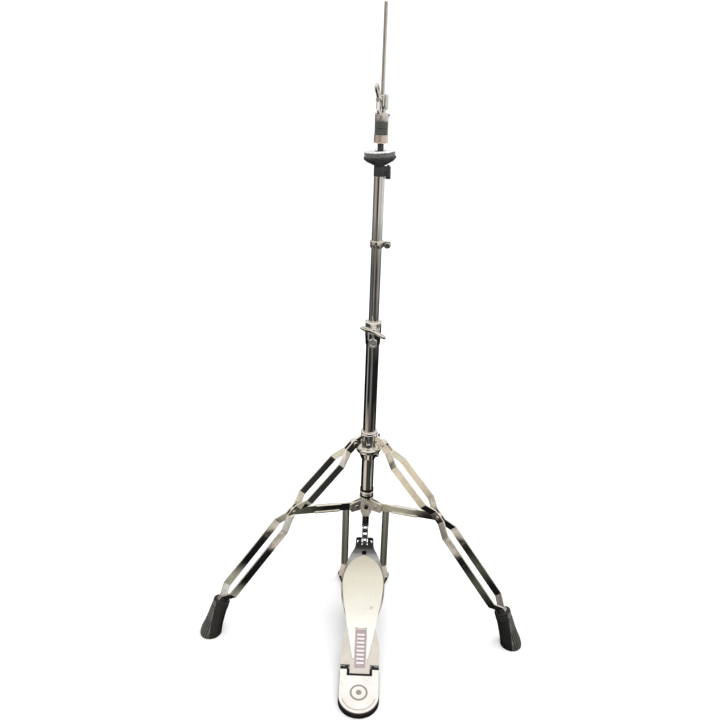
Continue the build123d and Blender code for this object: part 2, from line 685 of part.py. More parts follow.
with BuildPart() as hinge_pin:
    with BuildSketch(Plane.YZ):
        with Locations(BOARD_HINGE):
            Circle(HINGE_PIN_R)
    extrude(amount=HEEL_HALF_WIDTH - 3.2, both=True)
save(hinge_pin.part, "heel_hinge_pin")


# ---------------------------------------------------------------- footboard
TOE_PIN_AT = 263.0         # along the board from the hinge end
TOE_PIN_DEPTH = 5.0
TOE_PIN_R = 1.4
TOE_END = 274.0
PAD_RISE = 1.2
board_slope = radians(BOARD_SLOPE)
board_face = Plane(
    origin=(0, *BOARD_HEEL), x_dir=(1, 0, 0), z_dir=(0, -sin(board_slope), cos(board_slope)),
)
board_side = Plane(     # x along the board, y up out of its face
    origin=(0, *BOARD_HEEL), x_dir=(0, cos(board_slope), sin(board_slope)), z_dir=(1, 0, 0),
)



def board_outline(inset):
    """Outline of the casting: narrow toe, wide middle, waist and flared hinge end."""
    flank = Spline(
        (18.7 - inset, 256), (24.5 - inset, 239.5), (37.2 - inset, 205), (42.7 - inset, 170),
        (38.5 - inset, 128), (27.2 - inset, 78), (33.2 - inset, 52), (35.7 - inset, 30),
        tangents=((0.05, -1), (0, -1)),
    )
    Polyline(flank @ 1, (35.7 - inset, 6.8 + inset), (0, 6.8 + inset))
    Polyline(flank @ 0, (18.3 - inset, TOE_END - 3), (15.5 - inset, TOE_END - inset), (0, TOE_END - inset))
    mirror(about=Plane.YZ)


with BuildPart() as footboard:
    with BuildSketch(board_face.offset(-PAD_RISE)):
        with BuildLine():
            board_outline(0)
        make_face()
    extrude(amount=-(BOARD_SKIRT - PAD_RISE))
    # hollow underside, open at the hinge end, leaving a skirt round the edge
    with BuildSketch(board_face.offset(-PAD_RISE - BOARD_THICK)):
        with BuildLine():
            board_outline(2.6)
        make_face()
    extrude(amount=-BOARD_SKIRT, mode=Mode.SUBTRACT)
    with BuildSketch(board_face.offset(-PAD_RISE - BOARD_THICK)):
        Rectangle(100, 50)
    extrude(amount=-BOARD_SKIRT, mode=Mode.SUBTRACT)
    # tongue that reaches back to the hinge
    with BuildSketch(board_face.offset(-PAD_RISE)):
        with Locations((0, 3)):
            Rectangle(2 * TONGUE_HALF_WIDTH, 24)
    extrude(amount=-BOARD_THICK)
    # raised foot surface: an oval that narrows to two prongs beside the badge
    with BuildSketch(board_face.offset(-PAD_RISE)):
        with BuildLine():
            crest = ThreePointArc((0, 231), (22, 219), (35, 199))
            side_line = Spline(
                crest @ 1, (40.6, 170), (35.5, 126), (24.5, 66), (14.5, 19.5),
                tangents=((0.42, -1), (-0.2, -1)),
            )
            prong = ThreePointArc(side_line @ 1, (12.6, 17.6), (11.4, 20))
            Line(prong @ 1, (11.4, 74))
            Polyline((11.4, 74), (11.4, 77.5), (0, 75))
            mirror(about=Plane.YZ)
        make_face()
    extrude(amount=PAD_RISE)
    # knuckle for the hinge pin, under the tongue
    with BuildSketch(Plane.YZ):
        with BuildLine():
            knuckle_r = HEEL_FRONT - BOARD_HINGE[0]
            hinge_y, hinge_z = BOARD_HINGE
            Line((hinge_y - knuckle_r, hinge_z + 2.5), (hinge_y - knuckle_r, hinge_z))
            ThreePointArc(
                (hinge_y - knuckle_r, hinge_z), (hinge_y, hinge_z - knuckle_r), (hinge_y + knuckle_r, hinge_z),
            )
            Polyline(
                (hinge_y + knuckle_r, hinge_z), (hinge_y + knuckle_r, hinge_z + 5),
                (hinge_y - knuckle_r, hinge_z + 2.5),
            )
        make_face()
    extrude(amount=TONGUE_HALF_WIDTH, both=True)
    # block at the toe that holds the pin
    with BuildSketch(board_face.offset(-PAD_RISE)):
        with Locations((0, 251)):
            Rectangle(21, 46)
    extrude(amount=-(BOARD_SKIRT - PAD_RISE))
    with BuildSketch(board_face):     # slot for the chain
        with Locations((0, 270)):
            Rectangle(13, 28)
    extrude(amount=-30, mode=Mode.SUBTRACT)
    with BuildSketch(board_face):     # blind hole behind it
        with Locations((0, 237.5)):
            RectangleRounded(9.6, 9.0, 2.4)
    extrude(amount=-7, mode=Mode.SUBTRACT)
    for corner in (-1, 1):
        with BuildSketch(board_face):
            with BuildLine():
                Polyline((corner * 9.0, 271), (corner * 16.0, 270), (corner * 15.6, 260.5), close=True)
            make_face()
        extrude(amount=-30, mode=Mode.SUBTRACT)
    with BuildSketch(board_side):
        with Locations((TOE_PIN_AT, -TOE_PIN_DEPTH)):
            Circle(TOE_PIN_R)
    extrude(amount=8.4, both=True, mode=Mode.SUBTRACT)
    with BuildSketch(Plane.YZ):
        with Locations(BOARD_HINGE):
            Circle(HINGE_PIN_R + RUNNING)
    extrude(amount=TONGUE_HALF_WIDTH + 1, both=True, mode=Mode.SUBTRACT)
    # recessed panel between the prongs, with plain raised bars
    with BuildSketch(board_face.offset(-PAD_RISE)):
        with Locations((0, 37)):
            RectangleRounded(20, 72, 1.5)
    extrude(amount=-1.0, mode=Mode.SUBTRACT)
    with BuildSketch(board_face.offset(-PAD_RISE - 1.0)):
        with Locations((0, 37)):
            with GridLocations(0, 7.6, 1, 8):
                SlotOverall(14.5, 3.0)
    extrude(amount=0.7)
save(footboard.part, "footboard")

with BuildPart() as toe_pin:
    with BuildSketch(board_side):
        with Locations((TOE_PIN_AT, -TOE_PIN_DEPTH)):
            Circle(TOE_PIN_R)
    extrude(amount=8.3, both=True)
save(toe_pin.part, "toe_pin")


# ---------------------------------------------------------------- pull rod and chain
CLEVIS_TOP = 174.0
CLEVIS_BOTTOM = 143.5
CLEVIS_R = 7.0
CLEVIS_SLOT = 4.7          # half width
CHAIN_PIN_R = 1.9
INNER_PLATE = (2.9, 4.4)   # distances of a link plate's two faces from the middle
OUTER_PLATE = (4.6, 6.1)
LINK_END_R = 5.0
SPRING_R = 8.2
SPRING_WIRE = 1.8
SPRING_TURNS = 7
COLLAR_BOTTOM = 300.0
SPRING_SEAT = FERRULE_TOP + 4

with BuildPart() as clevis:
    with BuildSketch(Plane.XY.offset(CLEVIS_BOTTOM)):
        Circle(CLEVIS_R)
    extrude(amount=CLEVIS_TOP - CLEVIS_BOTTOM)
    chamfer(clevis.edges().filter_by(GeomType.CIRCLE).group_by(Axis.Z)[-1], 1.2)
    with BuildSketch(Plane.XY.offset(CLEVIS_BOTTOM)):
        Rectangle(2 * CLEVIS_SLOT, 20)
    extrude(amount=11, mode=Mode.SUBTRACT)
    with BuildSketch(Plane.XY.offset(CLEVIS_TOP)):
        Circle(PULL_ROD_R)
    extrude(amount=-8, mode=Mode.SUBTRACT)
    with BuildSketch(Plane.YZ):
        with Locations(CHAIN_TOP):
            Circle(CHAIN_PIN_R)
    extrude(amount=CLEVIS_R, both=True, mode=Mode.SUBTRACT)
save(clevis.part, "rod_clevis")

with BuildPart() as clevis_pin:
    with BuildSketch(Plane.YZ):
        with Locations(CHAIN_TOP):
            Circle(CHAIN_PIN_R)
    extrude(amount=CLEVIS_R, both=True)
save(clevis_pin.part, "clevis_pin")

# The pull rod ends in a threaded head that the cymbal rod screws into.
with BuildPart() as pull_rod:
    with BuildSketch(Plane.XY.offset(CLEVIS_TOP - 8)):
        Circle(PULL_ROD_R)
    extrude(amount=ROD_JOINT - 10 - CLEVIS_TOP + 8)
    with BuildSketch(Plane.XY.offset(ROD_JOINT - 25)):
        Circle(6.5)
    extrude(amount=50)
    with BuildSketch(Plane.XY.offset(ROD_JOINT + 25)):
        Circle(ROD_R)
    extrude(amount=-35, mode=Mode.SUBTRACT)
save(pull_rod.part, "pull_rod")

with BuildPart() as cymbal_rod:
    with BuildSketch(Plane.XY.offset(ROD_JOINT - 10)):
        Circle(ROD_R)
    extrude(amount=ROD_TOP - ROD_JOINT + 10)
    chamfer(cymbal_rod.edges().group_by(Axis.Z)[-1], 0.8)
save(cymbal_rod.part, "cymbal_rod")

with BuildPart() as spring_collar:
    with BuildSketch(Plane.XY.offset(COLLAR_BOTTOM)):
        Circle(LOWER_TUBE_BORE - GAP)
        Circle(PULL_ROD_R, mode=Mode.SUBTRACT)
    extrude(amount=7)
save(spring_collar.part, "spring_collar")

spring_low = SPRING_SEAT + SPRING_WIRE / 2 + 0.2
spring_high = COLLAR_BOTTOM - SPRING_WIRE / 2 - 0.2
with BuildPart() as return_spring:
    with BuildLine(Plane.XY.offset(spring_low)) as coil:
        Helix((spring_high - spring_low) / SPRING_TURNS, spring_high - spring_low, SPRING_R)
    with BuildSketch(Plane(origin=coil.line @ 0, z_dir=coil.line % 0)):
        Circle(SPRING_WIRE / 2)
    sweep(is_frenet=True)
save(return_spring.part, "return_spring")

chain_drop = Vector(0, CHAIN_FOOT[0] - CHAIN_TOP[0], CHAIN_FOOT[1] - CHAIN_TOP[1])
CHAIN_PITCH = chain_drop.length / CHAIN_LINKS
chain_side = Plane(     # x down the chain, z across it
    origin=(0, *CHAIN_TOP), x_dir=chain_drop, z_dir=(1, 0, 0),
)
TOE_HOLE_R = 2.95          # room for the toe pin, where the linkage is left open


INNER_LINKS = (0, 2)
OUTER_LINKS = (1,)
for links_name, links, faces in (
    ("chain_inner_links", INNER_LINKS, INNER_PLATE), ("chain_outer_link", OUTER_LINKS, OUTER_PLATE),
):
    with BuildPart() as link_plates:
        for link in links:
            for direction in (1, -1):
                middle = (link + 0.5) * CHAIN_PITCH
                with BuildSketch(chain_side.offset(direction * faces[0])):
                    with Locations((middle, 0)):
                        SlotCenterToCenter(CHAIN_PITCH, 2 * LINK_END_R)
                    with Locations((middle, LINK_END_R + 2.2), (middle, -LINK_END_R - 2.2)):
                        Circle(3.6, mode=Mode.SUBTRACT)
                    for pin in (link, link + 1):
                        with Locations((pin * CHAIN_PITCH, 0)):
                            Circle(TOE_HOLE_R if pin == CHAIN_LINKS else CHAIN_PIN_R, mode=Mode.SUBTRACT)
                extrude(amount=direction * (faces[1] - faces[0]))
    save(link_plates.part, links_name)

with BuildPart() as chain_rollers:
    for pin in range(CHAIN_LINKS + 1):
        bore = TOE_HOLE_R if pin == CHAIN_LINKS else CHAIN_PIN_R + RUNNING
        with BuildSketch(chain_side):
            with Locations((pin * CHAIN_PITCH, 0)):
                Circle(ROLLER_R)
                Circle(bore, mode=Mode.SUBTRACT)
        extrude(amount=INNER_PLATE[0] - 0.1, both=True)
save(chain_rollers.part, "chain_rollers")

with BuildPart() as chain_pins:
    for pin in range(1, CHAIN_LINKS):
        with BuildSketch(chain_side):
            with Locations((pin * CHAIN_PITCH, 0)):
                Circle(CHAIN_PIN_R)
        extrude(amount=OUTER_PLATE[1], both=True)
save(chain_pins.part, "chain_pins")


# ---------------------------------------------------------------- height clamp
RIM_FACETS = 8
with BuildPart() as height_clamp:
    with BuildSketch(Plane.XZ):
        with BuildLine():
            Polyline(
                (0, CLAMP_BOTTOM), (LOWER_TUBE_R + 1, CLAMP_BOTTOM), (CLAMP_R - 0.6, CLAMP_BOTTOM + 12),
                (CLAMP_R, CLAMP_BOTTOM + 20), (CLAMP_R, CLAMP_TOP - 9), (0, CLAMP_TOP - 9), close=True,
            )
        make_face()
    revolve(axis=Axis.Z)
    # faceted rim at the top
    with BuildSketch(Plane.XY.offset(CLAMP_TOP - 9)):
        RegularPolygon(CLAMP_R + 1.1, RIM_FACETS, rotation=22.5)
    extrude(amount=9)
    chamfer(height_clamp.edges().group_by(Axis.Z)[-1], 1.6)
    # boss for the wing bolt
    with BuildSketch(Plane.XZ):
        with Locations((0, HEIGHT_BOLT_Z)):
            RegularPolygon(8.5, 6)
    extrude(amount=HEIGHT_BOSS_REACH)
    # round boss below it, with a deep recess
    with BuildSketch(Plane.XZ):
        with Locations((0, CLAMP_BOTTOM + 7)):
            Circle(8.6)
    extrude(amount=20.5)
    with BuildSketch(Plane.XZ.offset(20.5)):
        with Locations((0, CLAMP_BOTTOM + 7)):
            Circle(5.6)
    extrude(amount=-5.5, mode=Mode.SUBTRACT)
    # bores
    with BuildSketch(Plane.XY.offset(CLAMP_BOTTOM - 4)):
        Circle(LOWER_TUBE_R + 0.02)
    extrude(amount=TUBE_TOP + 0.02 - CLAMP_BOTTOM + 4, mode=Mode.SUBTRACT)
    with BuildSketch(Plane.XY.offset(TUBE_TOP)):
        Circle(UPPER_TUBE_R + 0.4)
    extrude(amount=10, mode=Mode.SUBTRACT)
    with BuildSketch(Plane.XZ):
        with Locations((0, HEIGHT_BOLT_Z)):
            Circle(WING_SHANK_R + RUNNING)
    extrude(amount=HEIGHT_BOSS_REACH + 1, mode=Mode.SUBTRACT)
save(height_clamp.part, "height_clamp")

# Nylon bushing that centres the upper tube in the lower one.
BUSHING_LONG = 60.0
with BuildPart() as clamp_bushing:
    with BuildSketch(Plane.XY.offset(TUBE_TOP - BUSHING_LONG)):
        Circle(LOWER_TUBE_BORE - 0.02)
        Circle(UPPER_TUBE_R + RUNNING, mode=Mode.SUBTRACT)
    extrude(amount=BUSHING_LONG)
save(clamp_bushing.part, "clamp_bushing")


# ---------------------------------------------------------------- memory lock
LOCK_EAR = 19.2            # where the screw crosses the ear
with BuildPart() as memory_lock:
    with BuildSketch(Plane.XY.offset(LOCK_BOTTOM)):
        Circle(LOCK_R)
    extrude(amount=LOCK_TOP - LOCK_BOTTOM)
    with BuildSketch(Plane.XY.offset(LOCK_BOTTOM + 2.5)):     # ear for the screw
        with Locations((17.5, 0)):
            Rectangle(15, 10.5)
    extrude(amount=LOCK_TOP - LOCK_BOTTOM - 5)
    with BuildSketch(Plane.XY.offset(LOCK_BOTTOM)):     # bore, and the slit that closes on the tube
        Circle(UPPER_TUBE_R + RUNNING)
        with Locations((20, 0)):
            Rectangle(24, 1.6)
    extrude(amount=LOCK_TOP - LOCK_BOTTOM, mode=Mode.SUBTRACT)
    chamfer(memory_lock.edges().filter_by(GeomType.CIRCLE).filter_by(lambda e: e.radius > 11), 0.8)
    with BuildSketch(Plane.XZ):
        with Locations((LOCK_EAR, (LOCK_BOTTOM + LOCK_TOP) / 2)):
            Circle(2.5 + RUNNING)
    extrude(amount=12, both=True, mode=Mode.SUBTRACT)
save(memory_lock.part, "memory_lock")

with BuildPart() as memory_lock_screw:
    with BuildSketch(Plane.XZ.offset(-6)):
        with Locations((LOCK_EAR, (LOCK_BOTTOM + LOCK_TOP) / 2)):
            Circle(2.5)
    extrude(amount=12)
    with BuildSketch(Plane.XZ.offset(5.55)):
        with Locations((LOCK_EAR, (LOCK_BOTTOM + LOCK_TOP) / 2)):
            Circle(6.3)
    extrude(amount=2.2)
    with BuildSketch(Plane.XZ.offset(7.7)):
        with Locations((LOCK_EAR, (LOCK_BOTTOM + LOCK_TOP) / 2)):
            Circle(5.0)
    extrude(amount=3.8)
    fillet(memory_lock_screw.edges().group_by(Axis.Y)[0], 0.9)
save(memory_lock_screw.part, "memory_lock_screw")


# ---------------------------------------------------------------- seat for the lower cymbal
seat_tilt = radians(SEAT_TILT)
seat_plane = Plane(
    origin=(0, 0, SEAT_PIVOT_Z), x_dir=(cos(seat_tilt), 0, sin(seat_tilt)),
    z_dir=(-sin(seat_tilt), 0, cos(seat_tilt)),
)
seat_section = Plane(     # x outward, y along the tilted axis
    origin=(0, 0, SEAT_PIVOT_Z), x_dir=(cos(seat_tilt), 0, sin(seat_tilt)), z_dir=(0, -1, 0),
)
seat_axis = Axis((0, 0, SEAT_PIVOT_Z), (-sin(seat_tilt), 0, cos(seat_tilt)))
TILTER_X = 15.1
TILTER_R = 2.0
CUP_RIM = 6.5              # heights along the tilted axis
FELT_TOP = 16.5
CUP_WEB = (-1.4, 1.4)
CUP_BASE = -7.5

with BuildPart() as seat_stem:
    with BuildSketch(Plane.XY.offset(UPPER_TUBE_TOP - 20)):
        Circle(UPPER_TUBE_BORE - 0.02)
    extrude(amount=20)
    with BuildSketch(Plane.XY.offset(UPPER_TUBE_TOP)):
        Circle(STEM_R)
    extrude(amount=STEM_SHOULDER - UPPER_TUBE_TOP)
    with BuildSketch(Plane.XY.offset(STEM_SHOULDER - 9)):
        with BuildLine():
            Polyline((0, 6.5), (TILTER_X - 1, 4.6), (TILTER_X - 1, -4.6), (0, -6.5), close=True)
        make_face()
        with Locations((TILTER_X - 0.2, 0)):
            Circle(4.6)
    extrude(amount=9)
    with BuildSketch(Plane.XY.offset(STEM_SHOULDER)):
        Circle(8.2)
    extrude(amount=STEM_NECK_TOP - STEM_SHOULDER)
    with BuildSketch(Plane.XY.offset(UPPER_TUBE_TOP - 21)):
        Circle(ROD_R + 0.6)
    extrude(amount=60, mode=Mode.SUBTRACT)
    with BuildSketch(Plane.XY.offset(STEM_SHOULDER - 10)):
        with Locations((TILTER_X, 0)):
            Circle(TILTER_R + RUNNING)
    extrude(amount=11, mode=Mode.SUBTRACT)
save(seat_stem.part, "seat_stem")

with BuildPart() as seat_sleeve:
    with BuildSketch(Plane.XY.offset(STEM_NECK_TOP)):
        Circle(SLEEVE_R)
        Circle(ROD_R + 0.35, mode=Mode.SUBTRACT)
    extrude(amount=SLEEVE_TOP - STEM_NECK_TOP)
save(seat_sleeve.part, "seat_sleeve")

with BuildPart() as seat_cup:
    with BuildSketch(seat_section):
        with BuildLine():
            Polyline(
                (10.0, CUP_BASE), (12.0, CUP_BASE), (14.2, CUP_BASE + 1.4), (23.5, -1.2),
                (CUP_R - 0.9, CUP_RIM - 3.6), (CUP_R, CUP_RIM - 2), (CUP_R, CUP_RIM),
                (FELT_R - 0.6, CUP_RIM), (FELT_R - 1.6, CUP_RIM - 2.5), (8.9, CUP_WEB[1]),
                (7.2, CUP_WEB[1]), (7.2, CUP_WEB[0]), (10.0, CUP_WEB[0]), close=True,
            )
        make_face()
    revolve(axis=seat_axis)
save(seat_cup.part, "seat_cup")

with BuildPart() as seat_felt:
    with BuildSketch(seat_section):
        with BuildLine():
            Polyline(
                (9.0, CUP_WEB[1] + 0.2), (FELT_R - 1.9, CUP_RIM - 2.3), (FELT_R - 0.9, CUP_RIM + 0.2),
                (FELT_R, CUP_RIM + 1), (FELT_R, FELT_TOP - 1), (FELT_R - 1, FELT_TOP), (9.0, FELT_TOP),
                close=True,
            )
        make_face()
    revolve(axis=seat_axis)
save(seat_felt.part, "seat_felt")

TILTER_TOP = 897.8
with BuildPart() as tilter_screw:
    with BuildSketch(Plane.XY.offset(873.5)):
        with Locations((TILTER_X, 0)):
            Circle(4.75)
            with PolarLocations(5.6, 10):
                Circle(1.1, mode=Mode.SUBTRACT)
    extrude(amount=12.5)
    with BuildSketch(Plane.XY.offset(886)):
        with Locations((TILTER_X, 0)):
            Circle(TILTER_R)
    extrude(amount=TILTER_TOP - 886)
save(tilter_screw.part, "tilter_screw")


# ---------------------------------------------------------------- clutch
CLUTCH_BORE = ROD_R + RUNNING
CLUTCH_HEAD_R = 10.0
with BuildPart() as clutch_lower_nut:
    with BuildSketch(Plane.XY.offset(CLUTCH_BOTTOM)):
        Circle(12.2)
    extrude(amount=NUT_TOP - CLUTCH_BOTTOM)
    fillet(clutch_lower_nut.edges().group_by(Axis.Z)[0], 2.6)
    with BuildSketch(Plane.XY.offset(CLUTCH_BOTTOM)):
        Circle(ROD_R + 0.6)
    extrude(amount=20, mode=Mode.SUBTRACT)
    with BuildSketch(Plane.XY.offset(CLUTCH_BOTTOM + 2)):
        Circle(CLUTCH_TUBE_R + 0.02)
    extrude(amount=20, mode=Mode.SUBTRACT)
save(clutch_lower_nut.part, "clutch_lower_nut")

with BuildPart() as clutch_felts:
    for bottom, top in ((NUT_TOP, FELT_SPLIT - 0.1), (FELT_SPLIT + 0.1, FELTS_TOP)):
        with BuildSketch(Plane.XY.offset(bottom)):
            Circle(12.0)
            Circle(CLUTCH_TUBE_R + 0.3, mode=Mode.SUBTRACT)
        extrude(amount=top - bottom)
save(clutch_felts.part, "clutch_felts")

with BuildPart() as clutch_knurled_nut:
    with BuildSketch(Plane.XY.offset(FELTS_TOP)):
        Circle(11.7)
        with PolarLocations(12.0, 24):
            Circle(0.7, mode=Mode.SUBTRACT)
    extrude(amount=KNURL_TOP - FELTS_TOP)
    # pointed thumb lobe at the top
    with BuildSketch(Plane.XZ):
        with BuildLine():
            Polyline((10, KNURL_TOP), (14.4, KNURL_TOP - 1.2), (10, KNURL_TOP - 8.5), close=True)
        make_face()
    extrude(amount=2.5, both=True)
    with BuildSketch(Plane.XY.offset(FELTS_TOP - 1)):
        Circle(CLUTCH_TUBE_R + 0.02)
    extrude(amount=20, mode=Mode.SUBTRACT)
save(clutch_knurled_nut.part, "clutch_knurled_nut")

clutch_bolt_axis = Vector(
    -sin(radians(CLUTCH_BOLT_TURN)), -cos(radians(CLUTCH_BOLT_TURN)), 0,
)
clutch_bolt_plane = Plane(origin=(0, 0, CLUTCH_BOLT_Z), x_dir=(0, 0, 1), z_dir=clutch_bolt_axis)
with BuildPart() as clutch_body:
    with BuildSketch(Plane.XZ):
        with BuildLine():
            Polyline(
                (0, CLUTCH_BOTTOM + 2.02), (CLUTCH_TUBE_R, CLUTCH_BOTTOM + 2.02),
                (CLUTCH_TUBE_R, KNURL_TOP + 6), (CLUTCH_HEAD_R, KNURL_TOP + 7.5),
                (CLUTCH_HEAD_R, CLUTCH_TOP - 1.2), (CLUTCH_HEAD_R - 1.2, CLUTCH_TOP), (0, CLUTCH_TOP),
                close=True,
            )
        make_face()
    revolve(axis=Axis.Z)
    with BuildSketch(Plane.XY.offset(CLUTCH_BOTTOM)):
        Circle(CLUTCH_BORE)
    extrude(amount=100, mode=Mode.SUBTRACT)
    with BuildSketch(clutch_bolt_plane):
        Circle(CLUTCH_SHANK_R + RUNNING)
    extrude(amount=12, mode=Mode.SUBTRACT)
    # clamping slit down the right side of the head
    with BuildSketch(Plane.XY.offset(CLUTCH_TOP)):
        with Locations((4.2, -8)):
            Rectangle(1.2, 12)
    extrude(amount=-22, mode=Mode.SUBTRACT)
save(clutch_body.part, "clutch_body")


# ---------------------------------------------------------------- wing bolts
def wing_lobe(size):
    """One lobe of a wing, along +Y; x points out along the bolt."""
    Spline(
        (-2.0 * size, 4 * size), (-1.0 * size, 13 * size), (3.2 * size, 22.5 * size), (9.2 * size, 25 * size),
        (12.6 * size, 20.5 * size), (10.8 * size, 11 * size), (7.5 * size, 3.5 * size),
    )
    Polyline((-2.0 * size, 4 * size), (-2.0 * size, 0), (7.5 * size, 0), (7.5 * size, 3.5 * size))


WING_THICK = 4.0
height_bolt_axis = Vector(0, -1, 0)
WING_TURN = radians(22)    # the height bolt's wing, its left end higher
CLUTCH_WING_LEAN = radians(8)     # the clutch bolt's wing, its top end further left
clutch_wing_normal = (
    Vector(cos(radians(CLUTCH_BOLT_TURN)), -sin(radians(CLUTCH_BOLT_TURN)), 0) * cos(CLUTCH_WING_LEAN)
    + Vector(0, 0, sin(CLUTCH_WING_LEAN))
)
wing_bolts = (
    # name, axis, height, start of the hub, tip of the shank, shank radius, wing normal, size, hub radius
    ("height_wing_bolt", height_bolt_axis, HEIGHT_BOLT_Z, HEIGHT_BOSS_REACH + GAP, LOWER_TUBE_BORE + 0.1,
     WING_SHANK_R, Vector(sin(WING_TURN), 0, cos(WING_TURN)), 1.0, 6.0),
    ("hub_wing_bolt", hub_bolt_axis, HUB_BOLT_Z, HUB_BOSS_REACH + GAP, HUB_BORE + 0.1,
     WING_SHANK_R, Vector(cos(radians(HUB_BOLT_TURN)), -sin(radians(HUB_BOLT_TURN)), 0), 1.1, 6.6),
    ("clutch_wing_bolt", clutch_bolt_axis, CLUTCH_BOLT_Z, CLUTCH_HEAD_R + 2 * GAP, ROD_R + 0.2,
     CLUTCH_SHANK_R, clutch_wing_normal, 1.05, 4.6),
)
for bolt_name, axis, height, start, tip, shank_r, normal, size, wing_hub_r in wing_bolts:
    along = Plane(origin=(0, 0, height), x_dir=normal, z_dir=axis)
    wing_plane = Plane(origin=axis * (start + 3) + Vector(0, 0, height), x_dir=axis, z_dir=normal)
    with BuildPart() as wing_bolt:
        with BuildSketch(wing_plane):
            with BuildLine():
                wing_lobe(size)
            make_face()
            with Locations(Location((5.2 * size, 15.5 * size, 0), (0, 0, 76))):
                Ellipse(5.6 * size, 2.9 * size, mode=Mode.SUBTRACT)
            mirror(about=Plane.XZ)
        extrude(amount=WING_THICK / 2, both=True)
        with BuildSketch(along.offset(start)):
            Circle(wing_hub_r)
        extrude(amount=9.0 * size)
        with BuildSketch(along.offset(tip)):
            Circle(shank_r)
        extrude(amount=start + 1 - tip)
    save(wing_bolt.part, bolt_name)
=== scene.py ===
import json
import math

import bmesh
import bpy
import numpy as np
from mathutils import Matrix, Vector


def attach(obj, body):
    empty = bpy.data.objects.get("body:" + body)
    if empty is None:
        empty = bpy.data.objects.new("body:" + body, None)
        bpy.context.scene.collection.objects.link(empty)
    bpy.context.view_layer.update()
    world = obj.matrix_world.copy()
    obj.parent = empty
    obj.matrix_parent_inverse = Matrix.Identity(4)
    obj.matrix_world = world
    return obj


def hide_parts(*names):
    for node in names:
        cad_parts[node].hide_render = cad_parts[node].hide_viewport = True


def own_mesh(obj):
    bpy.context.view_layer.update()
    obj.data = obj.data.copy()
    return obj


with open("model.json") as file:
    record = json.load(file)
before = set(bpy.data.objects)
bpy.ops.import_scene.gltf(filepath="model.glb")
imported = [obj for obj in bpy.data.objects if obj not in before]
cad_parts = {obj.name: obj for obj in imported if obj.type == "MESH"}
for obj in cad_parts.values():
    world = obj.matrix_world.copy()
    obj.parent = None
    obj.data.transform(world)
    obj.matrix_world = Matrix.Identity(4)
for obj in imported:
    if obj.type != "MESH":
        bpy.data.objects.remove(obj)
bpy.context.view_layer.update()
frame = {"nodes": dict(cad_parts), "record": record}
NODES = frame["nodes"]
SCENE = bpy.context.scene


# ---------------------------------------------------------------- shader helpers
class Shader:
    """A material or world node tree with short calls for the nodes used here."""

    def __init__(self, tree):
        self.tree = tree
        self.tree.nodes.clear()

    def node(self, kind, **values):
        made = self.tree.nodes.new(kind)
        for key, value in values.items():
            setattr(made, key, value)
        return made

    def link(self, source, target):
        self.tree.links.new(source, target)

    def put(self, socket, value):
        """A number or colour goes on the socket itself, another socket is linked to it."""
        if isinstance(value, bpy.types.NodeSocket):
            self.link(value, socket)
        elif isinstance(value, tuple) and len(value) == 3 and len(socket.default_value) == 4:
            socket.default_value = (*value, 1)
        else:
            socket.default_value = value

    def object_point(self, stretch=(1, 1, 1)):
        """Position in the object's own space, stretched."""
        place = self.node("ShaderNodeTexCoord").outputs["Object"]
        mapping = self.node("ShaderNodeMapping")
        self.link(place, mapping.inputs["Vector"])
        mapping.inputs["Scale"].default_value = stretch
        return mapping.outputs["Vector"]

    def noise(self, point, scale, detail=4, rough=0.55, distort=0.0):
        made = self.node("ShaderNodeTexNoise")
        self.link(point, made.inputs["Vector"])
        made.inputs["Scale"].default_value = scale
        made.inputs["Detail"].default_value = detail
        made.inputs["Roughness"].default_value = rough
        made.inputs["Distortion"].default_value = distort
        return made.outputs["Fac"]

    def cells(self, point, scale):
        made = self.node("ShaderNodeTexVoronoi", feature="F1")
        self.link(point, made.inputs["Vector"])
        made.inputs["Scale"].default_value = scale
        return made.outputs["Distance"]

    def ramp(self, value, stops, smooth=False):
        made = self.node("ShaderNodeValToRGB")
        made.color_ramp.interpolation = "EASE" if smooth else "LINEAR"
        while len(made.color_ramp.elements) < len(stops):
            made.color_ramp.elements.new(0.5)
        for element, (at, shade) in zip(made.color_ramp.elements, stops):
            element.position = at
            element.color = (*shade, 1) if isinstance(shade, tuple) else (shade, shade, shade, 1)
        self.link(value, made.inputs["Fac"])
        return made.outputs["Color"]

    def spread(self, value, low, high, new_low, new_high):
        """Maps the range from low to high onto the range from new_low to new_high, clamped."""
        made = self.node("ShaderNodeMapRange")
        self.link(value, made.inputs["Value"])
        ends = {"From Min": low, "From Max": high, "To Min": new_low, "To Max": new_high}
        for name, number in ends.items():
            made.inputs[name].default_value = number
        return made.outputs["Result"]

    def math(self, operation, a, b=0.0):
        made = self.node("ShaderNodeMath", operation=operation)
        self.put(made.inputs[0], a)
        self.put(made.inputs[1], b)
        return made.outputs[0]

    def mix(self, factor, a, b, blend="MIX"):
        made = self.node("ShaderNodeMix", data_type="RGBA", blend_type=blend)
        self.put(made.inputs["Factor"], factor)
        self.put(made.inputs["A"], a)
        self.put(made.inputs["B"], b)
        return made.outputs["Result"]

    def split(self, point):
        """The outputs X, Y and Z of a point."""
        made = self.node("ShaderNodeSeparateXYZ")
        self.link(point, made.inputs[0])
        return made.outputs

    def dot(self, point, axis):
        """How far along an axis a point lies."""
        made = self.node("ShaderNodeVectorMath", operation="DOT_PRODUCT")
        self.link(point, made.inputs[0])
        made.inputs[1].default_value = axis
        return made.outputs["Value"]

    def bump(self, height, strength, distance, under=None):
        made = self.node("ShaderNodeBump")
        self.link(height, made.inputs["Height"])
        made.inputs["Strength"].default_value = strength
        made.inputs["Distance"].default_value = distance
        if under is not None:
            self.link(under, made.inputs["Normal"])
        return made.outputs["Normal"]


def new_material(name):
    made = bpy.data.materials.new(name)
    made.use_nodes = True
    return made, Shader(made.node_tree)


